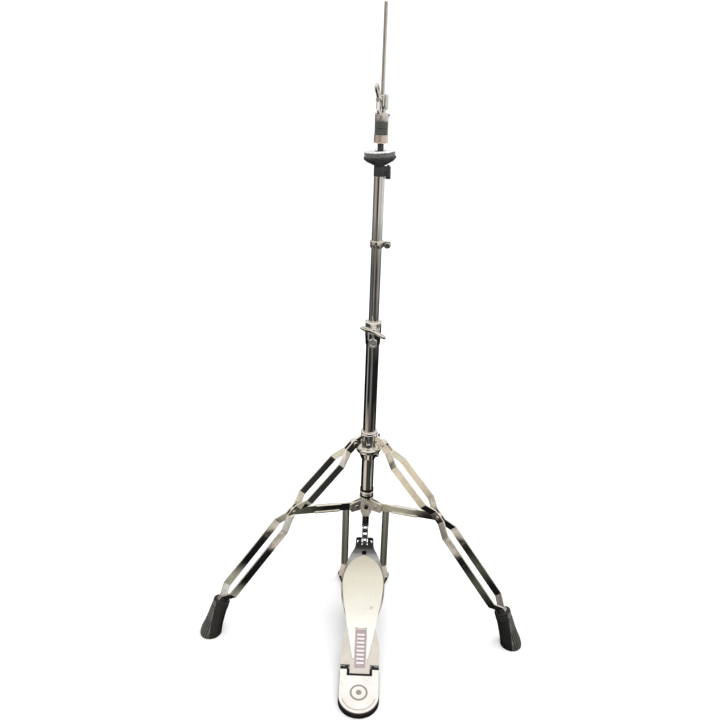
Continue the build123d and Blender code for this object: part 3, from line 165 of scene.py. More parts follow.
def principled(sh, **inputs):
    """The surface shader and its output; keys are socket names with _ for a space."""
    surface = sh.node("ShaderNodeBsdfPrincipled")
    for key, value in inputs.items():
        sh.put(surface.inputs[key.replace("_", " ")], value)
    out = sh.node("ShaderNodeOutputMaterial")
    sh.link(surface.outputs[0], out.inputs["Surface"])


# ---------------------------------------------------------------- materials
# stretch of the noise that stands for lines drawn along Z
DRAWN_UP = (1, 1, 0.03)


def plated_metal(name, light, dark, gloss, grain=(1, 1, 1), relief=0.02, smudge=26.0):
    """Plated steel: smudged gloss, fine drawn lines along grain and a few dull pits.

    gloss is the lowest and highest roughness, relief the strength of the lines, and smudge the
    scale of the smudges.
    """
    made, sh = new_material(name)
    flat = sh.object_point()
    lines = sh.noise(sh.object_point(grain), 900, 3, 0.6)
    cloud = sh.noise(flat, smudge, 5, 0.6, 0.4)
    speck = sh.cells(flat, 420)
    pit = (dark[0] * 0.45, dark[1] * 0.42, dark[2] * 0.4)
    tone = sh.mix(sh.spread(cloud, 0.35, 0.7, 0, 1), light, dark)
    tone = sh.mix(sh.spread(speck, 0.0, 0.09, 0.45, 0), tone, pit)
    rough = sh.spread(cloud, 0.3, 0.75, *gloss)
    rough = sh.math("ADD", rough, sh.spread(lines, 0.4, 0.8, 0, 0.4 * gloss[1]))
    normal = sh.bump(lines, relief, 0.0004)
    normal = sh.bump(sh.noise(flat, 60, 2, 0.5), 0.015, 0.002, normal)
    principled(sh, Base_Color=tone, Metallic=1.0, Roughness=rough, Normal=normal)
    return made


def rubber(name, with_painted_light=False):
    """Matt black rubber; one with painted light is paler where a mesh attribute paints highlights and a lit
    side on it.
    """
    made, sh = new_material(name)
    flat = sh.object_point()
    cloud = sh.noise(flat, 45, 5, 0.65)
    tone = sh.ramp(cloud, ((0.3, (0.004, 0.004, 0.004)), (0.75, (0.014, 0.0138, 0.013))))
    if with_painted_light:
        # painted light from the mesh: paler for painted highlights and the lit outer side, mottled by noise
        painted_light = sh.node("ShaderNodeAttribute", attribute_name="painted_light").outputs["Fac"]
        patchy = sh.math("MULTIPLY", painted_light, sh.spread(sh.noise(flat, 190, 5, 0.7), 0.3, 0.65, 0.45, 1))
        tone = sh.mix(patchy, tone, (0.30, 0.29, 0.26))
    normal = sh.bump(sh.noise(flat, 1400, 3, 0.6), 0.15, 0.0005)
    rough = sh.spread(cloud, 0.3, 0.7, 0.36, 0.54)
    principled(sh, Base_Color=tone, Roughness=rough, Normal=normal, Specular_IOR_Level=0.4)
    return made


def plastic(name, dark, light, gloss=(0.32, 0.5)):
    """Moulded plastic with a fine grain; gloss is its lowest and highest roughness."""
    made, sh = new_material(name)
    flat = sh.object_point()
    cloud = sh.noise(flat, 60, 4, 0.6)
    tone = sh.mix(sh.spread(cloud, 0.3, 0.7, 0, 1), dark, light)
    normal = sh.bump(sh.noise(flat, 2200, 2, 0.5), 0.12, 0.0003)
    principled(sh, Base_Color=tone, Roughness=sh.spread(cloud, 0.3, 0.7, *gloss), Normal=normal)
    return made


def felt(name, dark, light, fuzz, crown=None):
    """Pressed felt; crown is (start, end, axis, worn tone) for a face polished pale by wear."""
    made, sh = new_material(name)
    flat = sh.object_point()
    fibres = sh.noise(sh.object_point((1, 1, 0.35)), 1500, 6, 0.75, 1.6)
    clumps = sh.noise(flat, 330, 5, 0.7, 0.8)
    tone = sh.mix(sh.spread(clumps, 0.32, 0.68, 0, 1), dark, light)
    loose = tuple(min(1.0, c * 1.7 + 0.03) for c in light)
    tone = sh.mix(sh.spread(fibres, 0.45, 0.75, 0, 0.55), tone, loose)
    if crown:
        start, end, axis, worn = crown
        edge = sh.math("ADD", sh.dot(flat, axis), sh.spread(clumps, 0.3, 0.7, -0.0006, 0.0006))
        pale = sh.mix(sh.spread(fibres, 0.35, 0.7, 0, 1), tuple(c * 0.78 for c in worn), worn)
        tone = sh.mix(sh.spread(edge, start, end, 0, 1), tone, pale)
    normal = sh.bump(fibres, 0.5, 0.0006)
    normal = sh.bump(clumps, 0.55, 0.0012, normal)
    principled(sh, Base_Color=tone, Roughness=0.95, Normal=normal, Sheen_Weight=fuzz, Sheen_Roughness=0.4,
               Specular_IOR_Level=0.2)
    return made


# The footboard's tones depend on three lengths: along the board from its hinge end, height square
# to the board, both from BOARD_ORIGIN, and aside from the middle. Each pair below is where a
# change of tone starts and where it ends.
BOARD_TURN = math.radians(21.05)
BOARD_ORIGIN = (0, -0.263, 0.023)
BOARD_ALONG = (0, math.cos(BOARD_TURN), math.sin(BOARD_TURN))
BOARD_UP = (0, -math.sin(BOARD_TURN), math.cos(BOARD_TURN))
PAD_LENGTH = 0.24
PAD_HEIGHT = (-0.0009, -0.0004)
PAD_LINE_LOW, PAD_LINE_HIGH = (-0.0010, -0.0009), (-0.0005, -0.0002)
UNDERSIDE_HEIGHT = (-0.0030, -0.0024)
TOE = (0.222, 0.274)
FLARE_END = (0.12, 0.14)
LOW_TOE = (0.205, 0.235)
BLACK_FLANK = (0.19, 0.21)
PANEL_ASIDE, PANEL_END = (0.0099, 0.0101), (0.0725, 0.0735)
PANEL_FLOOR, PANEL_TOP = (-0.0026, -0.0023), (-0.0014, -0.0013)
PANEL_BARS = (-0.0021, -0.0017)
EAR_ASIDE, EAR_END = (0.0205, 0.0212), (0.0030, 0.0038)
# where the shoe rubs: aside, along and the size of the scuff
SCUFFS = ((0.018, 0.118, 0.0042), (-0.021, 0.172, 0.0016))


def board_length(sh, point, axis):
    """How far along an axis a point lies, from BOARD_ORIGIN."""
    start = sum(a * b for a, b in zip(axis, BOARD_ORIGIN))
    return sh.math("SUBTRACT", sh.dot(point, axis), start)


def pad_tone(sh, point, along, brush, cloud, fine):
    """Pale brushed pad that darkens towards the toe as a painted reflection, with mottle and two small
    scuffs.
    """
    # painted reflection: the pad darker and yellower towards the toe
    pad = sh.ramp(sh.spread(along, 0, PAD_LENGTH, 0, 1), (
        (0.0, (0.93, 0.92, 0.90)), (0.30, (0.88, 0.87, 0.82)), (0.52, (0.78, 0.76, 0.67)),
        (0.72, (0.70, 0.67, 0.57)), (0.95, (0.56, 0.52, 0.43)),
    ), True)
    mottle = sh.noise(point, 520, 5, 0.75)
    pad = sh.mix(sh.spread(mottle, 0.52, 0.72, 0, 0.34), pad, (0.50, 0.50, 0.32))
    pad = sh.mix(sh.spread(brush, 0.40, 0.72, 0, 0.16), pad, (0.46, 0.42, 0.36))
    pad = sh.mix(sh.spread(cloud, 0.5, 0.78, 0, 0.18), pad, (0.60, 0.54, 0.44))
    for aside, at, size in SCUFFS:
        spot = sh.node("ShaderNodeVectorMath", operation="DISTANCE")
        sh.link(point, spot.inputs[0])
        centre = Vector(BOARD_ORIGIN) + Vector(BOARD_ALONG) * at + Vector((aside, 0, 0))
        spot.inputs[1].default_value = centre
        ragged = sh.spread(fine, 0.3, 0.7, -size * 0.8, size * 0.8)
        reach = sh.math("ADD", spot.outputs["Value"], ragged)
        worn = sh.spread(reach, size * 0.35, size, 0.6, 0)
        mark = sh.math("MULTIPLY", worn, sh.spread(brush, 0.35, 0.6, 0.2, 1))
        pad = sh.mix(mark, pad, (0.16, 0.14, 0.12))
    return pad


def recess_tone(sh, along, height, aside, cloud, fine):
    """The lowered face round the pad: warm grey, going black at the toe as a painted reflection, with a
    panel of pale bars.
    """
    # painted reflection: grey going black towards the toe
    toe = sh.ramp(sh.spread(along, *TOE, 0, 1), (
        (0.0, (0.50, 0.50, 0.48)), (0.14, (0.34, 0.34, 0.33)), (0.34, (0.12, 0.12, 0.12)),
        (0.56, (0.016, 0.016, 0.016)), (1.0, (0.007, 0.007, 0.007)),
    ), True)
    flare = sh.mix(sh.spread(cloud, 0.3, 0.7, 0, 1), (0.64, 0.60, 0.54), (0.55, 0.51, 0.45))
    low = sh.mix(sh.spread(along, *FLARE_END, 0, 1), flare, (0.20, 0.19, 0.17))
    low = sh.mix(sh.spread(along, *LOW_TOE, 0, 1), low, toe)
    ground = sh.mix(sh.spread(fine, 0.35, 0.65, 0, 1), (0.47, 0.38, 0.40), (0.37, 0.29, 0.31))
    bars = sh.mix(sh.spread(height, *PANEL_BARS, 0, 1), ground, (0.86, 0.84, 0.84))
    inside = sh.math("MULTIPLY", sh.spread(aside, *PANEL_ASIDE, 1, 0), sh.spread(along, *PANEL_END, 1, 0))
    inside = sh.math("MULTIPLY", inside, sh.spread(height, *PANEL_TOP, 1, 0))
    inside = sh.math("MULTIPLY", inside, sh.spread(height, *PANEL_FLOOR, 0, 1))
    return sh.mix(inside, low, bars)


def board_metal():
    """Footboard casting: pad and recess, with painted shade: a dark line between them, a black underside and
    black ears in the hinge gap.
    """
    made, sh = new_material("footboard_metal")
    point = sh.object_point()
    along = board_length(sh, point, BOARD_ALONG)
    height = board_length(sh, point, BOARD_UP)
    aside = sh.math("ABSOLUTE", sh.split(point)["X"])
    brush = sh.noise(sh.object_point((1, 0.025, 0.06)), 1500, 4, 0.65)
    cloud = sh.noise(point, 38, 5, 0.6, 0.5)
    fine = sh.noise(point, 260, 4, 0.7)
    pad = pad_tone(sh, point, along, brush, cloud, fine)
    recess = recess_tone(sh, along, height, aside, cloud, fine)
    tone = sh.mix(sh.spread(height, *PAD_HEIGHT, 0, 1), recess, pad)
    # painted shade along the step between pad and recess
    line_low = sh.spread(height, *PAD_LINE_LOW, 0, 1)
    line = sh.math("MULTIPLY", line_low, sh.spread(height, *PAD_LINE_HIGH, 1, 0))
    tone = sh.mix(line, tone, (0.17, 0.165, 0.15))
    # painted shade on the underside, going black towards the toe
    flank = sh.mix(sh.spread(along, *BLACK_FLANK, 0, 1), (0.10, 0.095, 0.09), (0.004, 0.004, 0.004))
    tone = sh.mix(sh.spread(height, *UNDERSIDE_HEIGHT, 1, 0), tone, flank)
    # painted shade: the ears black in the gap at the hinge
    ears = sh.math("MULTIPLY", sh.spread(aside, *EAR_ASIDE, 0, 1), sh.spread(along, *EAR_END, 1, 0))
    tone = sh.mix(ears, tone, (0.006, 0.006, 0.006))
    rough = sh.math("ADD", sh.spread(cloud, 0.3, 0.7, 0.30, 0.40), sh.spread(brush, 0.35, 0.75, 0, 0.08))
    normal = sh.bump(brush, 0.16, 0.0003)
    normal = sh.bump(fine, 0.06, 0.0004, normal)
    principled(sh, Base_Color=tone, Metallic=0.35, Roughness=rough, Normal=normal)
    return made


RING_BOTTOM, RING_TOP = 0.212, 0.242


def banded_chrome():
    """Chrome ring with painted shade, near black, in its grooves, by height."""
    made, sh = new_material("banded_chrome")
    point = sh.object_point()
    height = sh.spread(sh.split(point)["Z"], RING_BOTTOM, RING_TOP, 0, 1)
    black = (0.010, 0.010, 0.010)
    steel = (0.90, 0.87, 0.83)
    # painted shade: black bands in the grooves
    tone = sh.ramp(height, (
        (0.26, steel), (0.28, black), (0.40, black), (0.42, steel), (0.745, steel), (0.765, black),
    ))
    cloud = sh.noise(point, 60, 4, 0.6)
    rough = sh.spread(cloud, 0.3, 0.7, 0.08, 0.2)
    normal = sh.bump(sh.noise(point, 500, 3, 0.5), 0.05, 0.0004)
    principled(sh, Base_Color=tone, Metallic=1.0, Roughness=rough, Normal=normal)
    return made


STRUT_ASIDE = (0.0348, 0.0492)


def facet_paint(name, top, bottom, heights, metallic, reflection_stripes=None):
    """Satin plating whose tone changes with height, and across a strut by stripes of painted reflection,
    with fine grain.
    """
    made, sh = new_material(name)
    point = sh.object_point()
    split = sh.split(point)
    tone = sh.mix(sh.spread(split["Z"], *heights, 0, 1), bottom, top)
    if reflection_stripes:
        aside = sh.math("ABSOLUTE", split["X"])
        # painted reflection: light and dark stripes across the strut
        tone = sh.mix(1.0, tone, sh.ramp(sh.spread(aside, *STRUT_ASIDE, 0, 1), reflection_stripes), "MULTIPLY")
    grain = sh.noise(sh.object_point((1, 1, 0.06)), 900, 4, 0.65)
    cloud = sh.noise(point, 120, 5, 0.65)
    tone = sh.mix(sh.spread(grain, 0.4, 0.7, 0, 0.28), tone, tuple(c * 0.55 for c in bottom))
    tone = sh.mix(sh.spread(cloud, 0.45, 0.75, 0, 0.3), tone, tuple(c * 0.6 for c in top))
    rough = sh.spread(cloud, 0.3, 0.7, 0.30, 0.46)
    normal = sh.bump(grain, 0.12, 0.0004)
    principled(sh, Base_Color=tone, Metallic=metallic, Roughness=rough, Normal=normal)
    return made


# low and high end of the heel plate's top face, as Y and Z
HEEL_BACK = (-0.351, 0.012)
HEEL_HINGE = (-0.2585, 0.0222)
HEEL_RIM = (-0.2646, -0.2642)
NOTCH_BACK, NOTCH_ASIDE = (-0.2778, -0.2774), (0.0231, 0.0234)


def heel_metal():
    """Heel plate casting: pale brushed top, with painted shade: dark sides, darker engraved lines and a
    black rim at the gap by the footboard.
    """
    made, sh = new_material("heel_metal")
    point = sh.object_point()
    brush = sh.noise(sh.object_point((1, 0.03, 1)), 1400, 4, 0.65)
    cloud = sh.noise(point, 42, 5, 0.6, 0.5)
    tone = sh.mix(sh.spread(cloud, 0.35, 0.7, 0, 1), (0.88, 0.87, 0.84), (0.76, 0.73, 0.67))
    tone = sh.mix(sh.spread(brush, 0.42, 0.72, 0, 0.22), tone, (0.50, 0.46, 0.40))
    slope = math.atan2(HEEL_HINGE[1] - HEEL_BACK[1], HEEL_HINGE[0] - HEEL_BACK[0])
    top = HEEL_BACK[1] * math.cos(slope) - HEEL_BACK[0] * math.sin(slope)
    depth = sh.math("SUBTRACT", sh.dot(point, (0, -math.sin(slope), math.cos(slope))), top)
    # painted shade: darker below the top face, on the sides and in the engraved lines
    tone = sh.mix(sh.spread(depth, -0.0006, -0.0002, 0, 1), (0.30, 0.27, 0.25), tone)
    tone = sh.mix(sh.spread(depth, -0.0016, -0.0009, 0, 1), (0.08, 0.078, 0.075), tone)
    split = sh.split(point)
    aside = sh.math("ABSOLUTE", split["X"])
    # painted shade: a black band along the front rim and the notch, at the gap by the footboard
    rim = sh.spread(split["Y"], *HEEL_RIM, 0, 1)
    notch = sh.spread(split["Y"], *NOTCH_BACK, 0, 1)
    notch = sh.math("MULTIPLY", notch, sh.spread(aside, *NOTCH_ASIDE, 1, 0))
    tone = sh.mix(sh.math("MAXIMUM", rim, notch), tone, (0.010, 0.010, 0.010))
    rough = sh.spread(cloud, 0.3, 0.7, 0.30, 0.42)
    normal = sh.bump(brush, 0.16, 0.0003)
    principled(sh, Base_Color=tone, Metallic=0.35, Roughness=rough, Normal=normal)
    return made


CHROME = plated_metal("chrome", (0.84, 0.82, 0.78), (0.74, 0.71, 0.67), (0.01, 0.035), DRAWN_UP)
CHROME_CAST = plated_metal("chrome_cast", (0.88, 0.86, 0.82), (0.74, 0.71, 0.66), (0.04, 0.11),
                           relief=0.05, smudge=60)
PLATED = plated_metal("plated_steel", (0.66, 0.62, 0.56), (0.46, 0.43, 0.38), (0.14, 0.30),
                      relief=0.06, smudge=40)
ROD = plated_metal("rod_steel", (0.86, 0.81, 0.74), (0.70, 0.65, 0.58), (0.14, 0.28), DRAWN_UP, 0.05)
WIRE = plated_metal("spring_wire", (0.40, 0.40, 0.41), (0.30, 0.30, 0.31), (0.2, 0.35))
ALUMINIUM = plated_metal("cast_aluminium", (0.88, 0.85, 0.81), (0.78, 0.75, 0.71), (0.16, 0.32),
                         (1, 0.05, 1), 0.12, 34)
DARK_STEEL = plated_metal("dark_steel", (0.10, 0.095, 0.09), (0.045, 0.043, 0.04), (0.22, 0.38), relief=0.05)
BRACKET = plated_metal("bracket_steel", (0.93, 0.89, 0.82), (0.78, 0.73, 0.66), (0.30, 0.42),
                       relief=0.06, smudge=60)
RIVET = plated_metal("rivet", (0.74, 0.66, 0.60), (0.60, 0.52, 0.46), (0.12, 0.22), relief=0.04)
NICKEL = plated_metal("nickel", (0.92, 0.88, 0.82), (0.80, 0.75, 0.68), (0.16, 0.26), relief=0.06, smudge=70)
# the lower clutch nut: nickel whose warm tan tone is a painted reflection
REFLECTION_TINTED_NICKEL = plated_metal("reflection_tinted_nickel", (0.98, 0.86, 0.74), (0.86, 0.74, 0.63), (0.34, 0.46), relief=0.06)
STRAP = plated_metal("strap_chrome", (0.86, 0.84, 0.78), (0.70, 0.67, 0.60), (0.035, 0.09),
                     relief=0.05, smudge=70)
RUBBER = rubber("rubber")
FOOT_RUBBER = rubber("foot_rubber", True)
BOARD_METAL = board_metal()
HEEL_METAL = heel_metal()
BANDED = banded_chrome()
STRUT_FOOT = facet_paint("strut_foot_metal", (0.95, 0.83, 0.73), (0.86, 0.76, 0.68), (0.008, 0.034), 0.25)
# the strut's stripes are painted reflections
STRUT_METAL = facet_paint("strut_metal", (0.42, 0.40, 0.32), (0.30, 0.28, 0.22), (0.03, 0.19), 0.45, (
    (0.0, 0.03), (0.13, 0.05), (0.22, 0.55), (0.42, 0.75), (0.52, 0.95), (0.62, 0.36), (0.82, 0.42),
    (1.0, 0.62),
))
PLASTIC = plastic("black_plastic", (0.018, 0.018, 0.018), (0.040, 0.040, 0.039))
CHARCOAL = plastic("charcoal_plastic", (0.016, 0.0165, 0.016), (0.034, 0.035, 0.034), (0.34, 0.5))
NYLON = plastic("nylon", (0.60, 0.60, 0.57), (0.72, 0.72, 0.69))

# the seat leans a little, and the crown of its felt is worn pale
SEAT_TILT = math.radians(4.6)
SEAT_HEIGHT = 0.905
SEAT_AXIS = (-math.sin(SEAT_TILT), 0, math.cos(SEAT_TILT))
SEAT_LEVEL = SEAT_HEIGHT * math.cos(SEAT_TILT)
WORN_START, WORN_END = 0.0152, 0.0162
SEAT_FELT = felt("seat_felt", (0.030, 0.030, 0.030), (0.15, 0.15, 0.148), 0.25,
                 (SEAT_LEVEL + WORN_START, SEAT_LEVEL + WORN_END, SEAT_AXIS, (0.86, 0.86, 0.85)))
CLUTCH_FELT = felt("clutch_felt", (0.030, 0.032, 0.027), (0.080, 0.084, 0.072), 0.25)

BY_SLOT = {
    "chrome": CHROME, "plated_steel": PLATED, "rod_steel": ROD, "spring_wire": WIRE,
    "cast_aluminium": ALUMINIUM, "rubber": RUBBER, "black_plastic": PLASTIC, "nylon": NYLON,
    "seat_felt": SEAT_FELT, "clutch_felt": CLUTCH_FELT,
}
CAST_NODES = ("height_clamp", "leg_hub", "height_wing_bolt", "hub_wing_bolt", "clutch_wing_bolt",
              "memory_lock", "memory_lock_screw")
OWN_METAL = {
    "footboard": BOARD_METAL, "heel_plate": HEEL_METAL, "chain_inner_links": DARK_STEEL,
    "chain_outer_link": DARK_STEEL, "rod_clevis": DARK_STEEL, "bracket_screws": DARK_STEEL,
    "chain_rollers": DARK_STEEL, "chain_pins": DARK_STEEL, "heel_hinge_pin": DARK_STEEL,
    "clevis_pin": DARK_STEEL, "toe_pin": DARK_STEEL,
    "front_bracket_plate": BRACKET, "rear_bracket_plate": BRACKET, "spring_tension_ring": BANDED,
    "left_strut": STRUT_METAL, "right_strut": STRUT_METAL, "strut_crossbar": STRUT_METAL,
    "left_strut_foot": STRUT_FOOT, "right_strut_foot": STRUT_FOOT,
    "clutch_knurled_nut": NICKEL, "clutch_lower_nut": REFLECTION_TINTED_NICKEL,
    "seat_cup": CHARCOAL, "seat_stem": CHARCOAL,
    "hub_rivets": RIVET, "brace_rivets": RIVET, "left_leg_rivets": RIVET, "right_leg_rivets": RIVET,
}
slot_of = {part["node"]: part["material_slot"] for part in frame["record"]["subparts"]}


def wear(piece, material):
    piece.data.materials.clear()
    piece.data.materials.append(material)


def soften(piece, width, segments=2, angle=32):
    """Rounds the sharp edges of a piece with modifiers, leaving its mesh as it is."""
    weld = piece.modifiers.new("weld", "WELD")
    weld.merge_threshold = 1e-6
    bevel = piece.modifiers.new("bevel", "BEVEL")
    bevel.width = width
    bevel.segments = segments
    bevel.limit_method = "ANGLE"
    bevel.angle_limit = math.radians(angle)
    bevel.use_clamp_overlap = True
    bevel.harden_normals = True


EDGE = {
    "footboard": 0.0005, "heel_plate": 0.0005, "height_clamp": 0.0006, "leg_hub": 0.0008,
    "front_bracket_plate": 0.0004, "rear_bracket_plate": 0.0004, "seat_cup": 0.0005, "base_plate": 0.0005,
    "base_rubber": 0.0008, "heel_rubber": 0.0008, "memory_lock": 0.0004, "clutch_body": 0.0003,
    "clutch_knurled_nut": 0.0003, "chain_rollers": 0.0002, "chain_inner_links": 0.0002,
    "chain_outer_link": 0.0002, "tilter_screw": 0.0003, "seat_stem": 0.0005, "rod_clevis": 0.0003,
}
SIDE_EDGE = {"brace": 0.0008, "leg_front_strap": 0.0008, "leg_rear_strap": 0.0008, "strut": 0.0005,
             "strut_foot": 0.0005}
for side in ("left", "right"):
    EDGE.update({f"{side}_{part}": width for part, width in SIDE_EDGE.items()})

for node, piece in NODES.items():
    material = CHROME_CAST if node in CAST_NODES else BY_SLOT[slot_of[node]]
    if node.endswith(("_strap", "_brace")):
        material = STRAP
    wear(piece, OWN_METAL.get(node, material))
    if node in EDGE:
        soften(piece, EDGE[node])


# ---------------------------------------------------------------- pieces that replace CAD nodes
def add_piece(name, mesh, material, body, node):
    """A finished piece that stands for one CAD node and rides on that node's body."""
    piece = bpy.data.objects.new(name, mesh)
    SCENE.collection.objects.link(piece)
    wear(piece, material)
    mesh.polygons.foreach_set("use_smooth", [True] * len(mesh.polygons))
    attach(piece, body)
    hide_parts(node)
    return piece


def remeshed(node, voxel):
    """Copy of a CAD node's mesh with an even skin of small faces."""
    copy = bpy.data.objects.new("temporary", NODES[node].data.copy())
    SCENE.collection.objects.link(copy)
    even = copy.modifiers.new("even", "REMESH")
    even.mode = "VOXEL"
    even.voxel_size = voxel
    graph = bpy.context.evaluated_depsgraph_get()
    made = bpy.data.meshes.new_from_object(copy.evaluated_get(graph))
    bpy.data.objects.remove(copy)
    made.name = node
    return made


def points_of(mesh):
    points = np.empty(len(mesh.vertices) * 3)
    mesh.vertices.foreach_get("co", points)
    return points.reshape(-1, 3)


def move_points(mesh, points):
    mesh.vertices.foreach_set("co", points.ravel())
    mesh.update()


def relax(mesh, rounds, share=0.5):
    """Moves each point towards the middle of its neighbours, which rounds edges off."""
    edges = np.empty(len(mesh.edges) * 2, dtype=int)
    mesh.edges.foreach_get("vertices", edges)
    a, b = edges.reshape(-1, 2).T
    points = points_of(mesh)
    count = np.bincount(np.concatenate((a, b)), minlength=len(points))[:, None]
    for _ in range(rounds):
        total = np.zeros_like(points)
        np.add.at(total, a, points[b])
        np.add.at(total, b, points[a])
        points += share * (total / count - points)
    move_points(mesh, points)


def groove(value, centre, half):
    """1 at the centre of a groove, falling smoothly to 0 at half its width."""
    return np.clip(1 - ((value - centre) / half) ** 2, 0, 1) ** 1.5


# wing bolts: the CAD shape a little fuller, with its edges rounded as cast ones are
for node, body, voxel, rounds, fuller in (
    ("height_wing_bolt", "height_wing", 0.0005, 5, 0.0005),
    ("hub_wing_bolt", "hub_wing", 0.0005, 5, 0.0005),
    ("clutch_wing_bolt", "clutch_wing", 0.00045, 4, 0.0003),
):
    mesh = remeshed(node, voxel)
    relax(mesh, rounds)
    normals = np.empty(len(mesh.vertices) * 3, dtype=np.float32)
    mesh.vertices.foreach_get("normal", normals)
    move_points(mesh, points_of(mesh) + normals.reshape(-1, 3) * fuller)
    add_piece(f"{node}_cast", mesh, CHROME_CAST, body, node)

# return spring: it rides on the pull rod at one length, though the real spring shortens towards the rod's
# collar as the pedal goes down
coil = NODES["return_spring"].data.copy()
spring = add_piece("return_spring_coil", coil, WIRE, "pull_rod", "return_spring")
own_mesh(spring)

# Rubber feet. The place of a foot's top and the voxel are in metres. Lengths along the foot's axis
# and out from it are in millimetres, and turns round it in degrees.
LEG_TURN = math.radians(29)
FOOT_SLOPE = math.radians(70)
FOOT_TOP_REACH, FOOT_TOP_HEIGHT = 0.312, 0.071
FOOT_CORE = 11.5
SKIN_START = 1.5
FOOT_LENGTH = 75
FLUTED_TOP, FLUTED_GROWTH = 24, 38
CROWN_END = 15
CROWN_GROOVES = (5.2, 9.4, 13.6)
# where painted highlights lie on the ridges between the crown's grooves, RIDGE_HALF being their half width
CROWN_RIDGES = (3.2, 7.3, 11.5)
FLUTE_START, FLUTE_RAMP = 34, 14
FLUTES = range(-56, 57, 14)
SIDE_DEPTH, GROOVE_DEPTH, FLUTE_DEPTH = 0.9, 1.3, 2.0
GROOVE_HALF, RIDGE_HALF, FLUTE_HALF = 1.7, 1.5, 4.6
FOOT_VOXEL = 0.0007


def fade_in(value, start, length):
    """0 before start, rising evenly to 1 over a length."""
    return np.clip((value - start) / length, 0, 1)


def moulded_foot(name, side):
    """Rings under the crown, a smooth face towards the pedal and flutes on the outside, with painted light
    in a mesh attribute: a paler lit outer side, painted highlights on the ring ridges and flute edges, and
    painted shade in the flutes.
    """
    node = f"{name}_rubber_foot"
    mesh = remeshed(node, FOOT_VOXEL)
    points = points_of(mesh)
    outward = np.array((side * math.cos(LEG_TURN), -math.sin(LEG_TURN), 0.0))
    up = np.array((0.0, 0.0, 1.0))
    start = outward * FOOT_TOP_REACH + up * FOOT_TOP_HEIGHT
    axis = outward * math.cos(FOOT_SLOPE) - up * math.sin(FOOT_SLOPE)
    away = outward * math.sin(FOOT_SLOPE) + up * math.cos(FOOT_SLOPE)
    across = np.cross(axis, away) * side
    local = points - start
    along = local @ axis * 1000
    x, y = local @ away, local @ across
    radius = np.hypot(x, y) * 1000
    turn = np.degrees(np.arctan2(y, x))
    limit = FLUTED_TOP + FLUTED_GROWTH * along / FOOT_LENGTH
    inward = limit - np.abs(turn)
    outside = fade_in(inward, 0, 3)
    skin = fade_in(radius, FOOT_CORE, 2) * fade_in(along, SKIN_START, 2)
    skin *= fade_in(points[:, 2] * 1000, 0, 2.5)
    depth = SIDE_DEPTH * fade_in(-inward, 0, 2) * fade_in(along, CROWN_END, 2)
    # painted light: the outer side paler, as lit from outside
    painted_light = 0.30 * outside * fade_in(along, CROWN_END - 1, 2)
    for centre in CROWN_GROOVES:
        depth += GROOVE_DEPTH * groove(along, centre, GROOVE_HALF)
    # painted highlights on the ridges between the crown's grooves
    for crest in CROWN_RIDGES:
        painted_light = np.maximum(painted_light, fade_in(inward, -6, 8) * groove(along, crest, RIDGE_HALF))
    run = fade_in(along, FLUTE_START, FLUTE_RAMP) * outside
    for centre in FLUTES:
        depth += run * FLUTE_DEPTH * groove(turn, centre, FLUTE_HALF)
        # painted shade in each flute, and a painted highlight on the edge beside it
        painted_light *= 1 - 0.75 * run * groove(turn, centre, 5.2)
        painted_light = np.maximum(painted_light, 0.55 * run * groove(turn, centre + 7, 2.6))
    # painted highlight along the edge of the fluted side
    painted_light = np.maximum(painted_light, 0.75 * groove(inward, 2.6, 2.6) * fade_in(along, CROWN_END, 2))
    tone = mesh.attributes.new("painted_light", "FLOAT", "POINT")
    tone.data.foreach_set("value", np.clip(painted_light, 0, 1) * skin)
    shift = (depth * skin / np.maximum(radius, 0.001))[:, None]
    points = points - shift * (x[:, None] * away + y[:, None] * across)
    move_points(mesh, points)
    relax(mesh, 1, 0.35)
    add_piece(f"{node}_moulded", mesh, FOOT_RUBBER, f"{name}_leg", node)


moulded_foot("left", -1)
moulded_foot("right", 1)


def lathe(profile, segments, place, uneven):
    """Ring turned from a closed outline of (radius, height) pairs, roughened and put where place says."""
    steps = len(profile)
    turns = np.linspace(0, 2 * math.pi, segments, endpoint=False)
    rings = [(radius * math.cos(turn), radius * math.sin(turn), height)
             for turn in turns for radius, height in profile]
    points = uneven(np.array(rings))
    faces = []
    for i in range(segments):
        j = (i + 1) % segments
        for k in range(steps):
            m = (k + 1) % steps
            faces.append((i * steps + k, j * steps + k, j * steps + m, i * steps + m))
    mesh = bpy.data.meshes.new("turned")
    mesh.from_pydata([tuple(place @ Vector(point)) for point in points], [], faces)
    mesh.update()
    return mesh


def rounded(outline, corner, steps=4):
    """Outline of (radius, height) points with each corner turned into a small arc."""
    made = []
    for i, point in enumerate(outline):
        here = np.array(point)
        before = np.array(outline[i - 1])
        after = np.array(outline[(i + 1) % len(outline)])
        cut = min(corner, np.linalg.norm(before - here) / 2.2, np.linalg.norm(after - here) / 2.2)
        first = here + (before - here) / np.linalg.norm(before - here) * cut
        last = here + (after - here) / np.linalg.norm(after - here) * cut
        for k in range(steps + 1):
            t = k / steps
            made.append(tuple((1 - t) ** 2 * first + 2 * t * (1 - t) * here + t * t * last))
    return made


def denser(outline, step):
    """The same closed outline with a point at least every step."""
    made = []
    for i, point in enumerate(outline):
        a, b = np.array(point), np.array(outline[(i + 1) % len(outline)])
        parts = max(1, int(np.linalg.norm(b - a) / step))
        made += [tuple(a + (b - a) * k / parts) for k in range(parts)]
    return made

FELT_STEP, FELT_SEGMENTS = 0.0008, 220
WAVE_PITCH, WAVE_HEIGHT, WAVES = 900, 0.00022, 9
FELT_GRAIN = 0.00005
FIBRE_REACH, FIBRE_LIFT, FIBRE_HALF_WIDTH = (0.0006, 0.0015), (0.10, 0.32), 0.00004


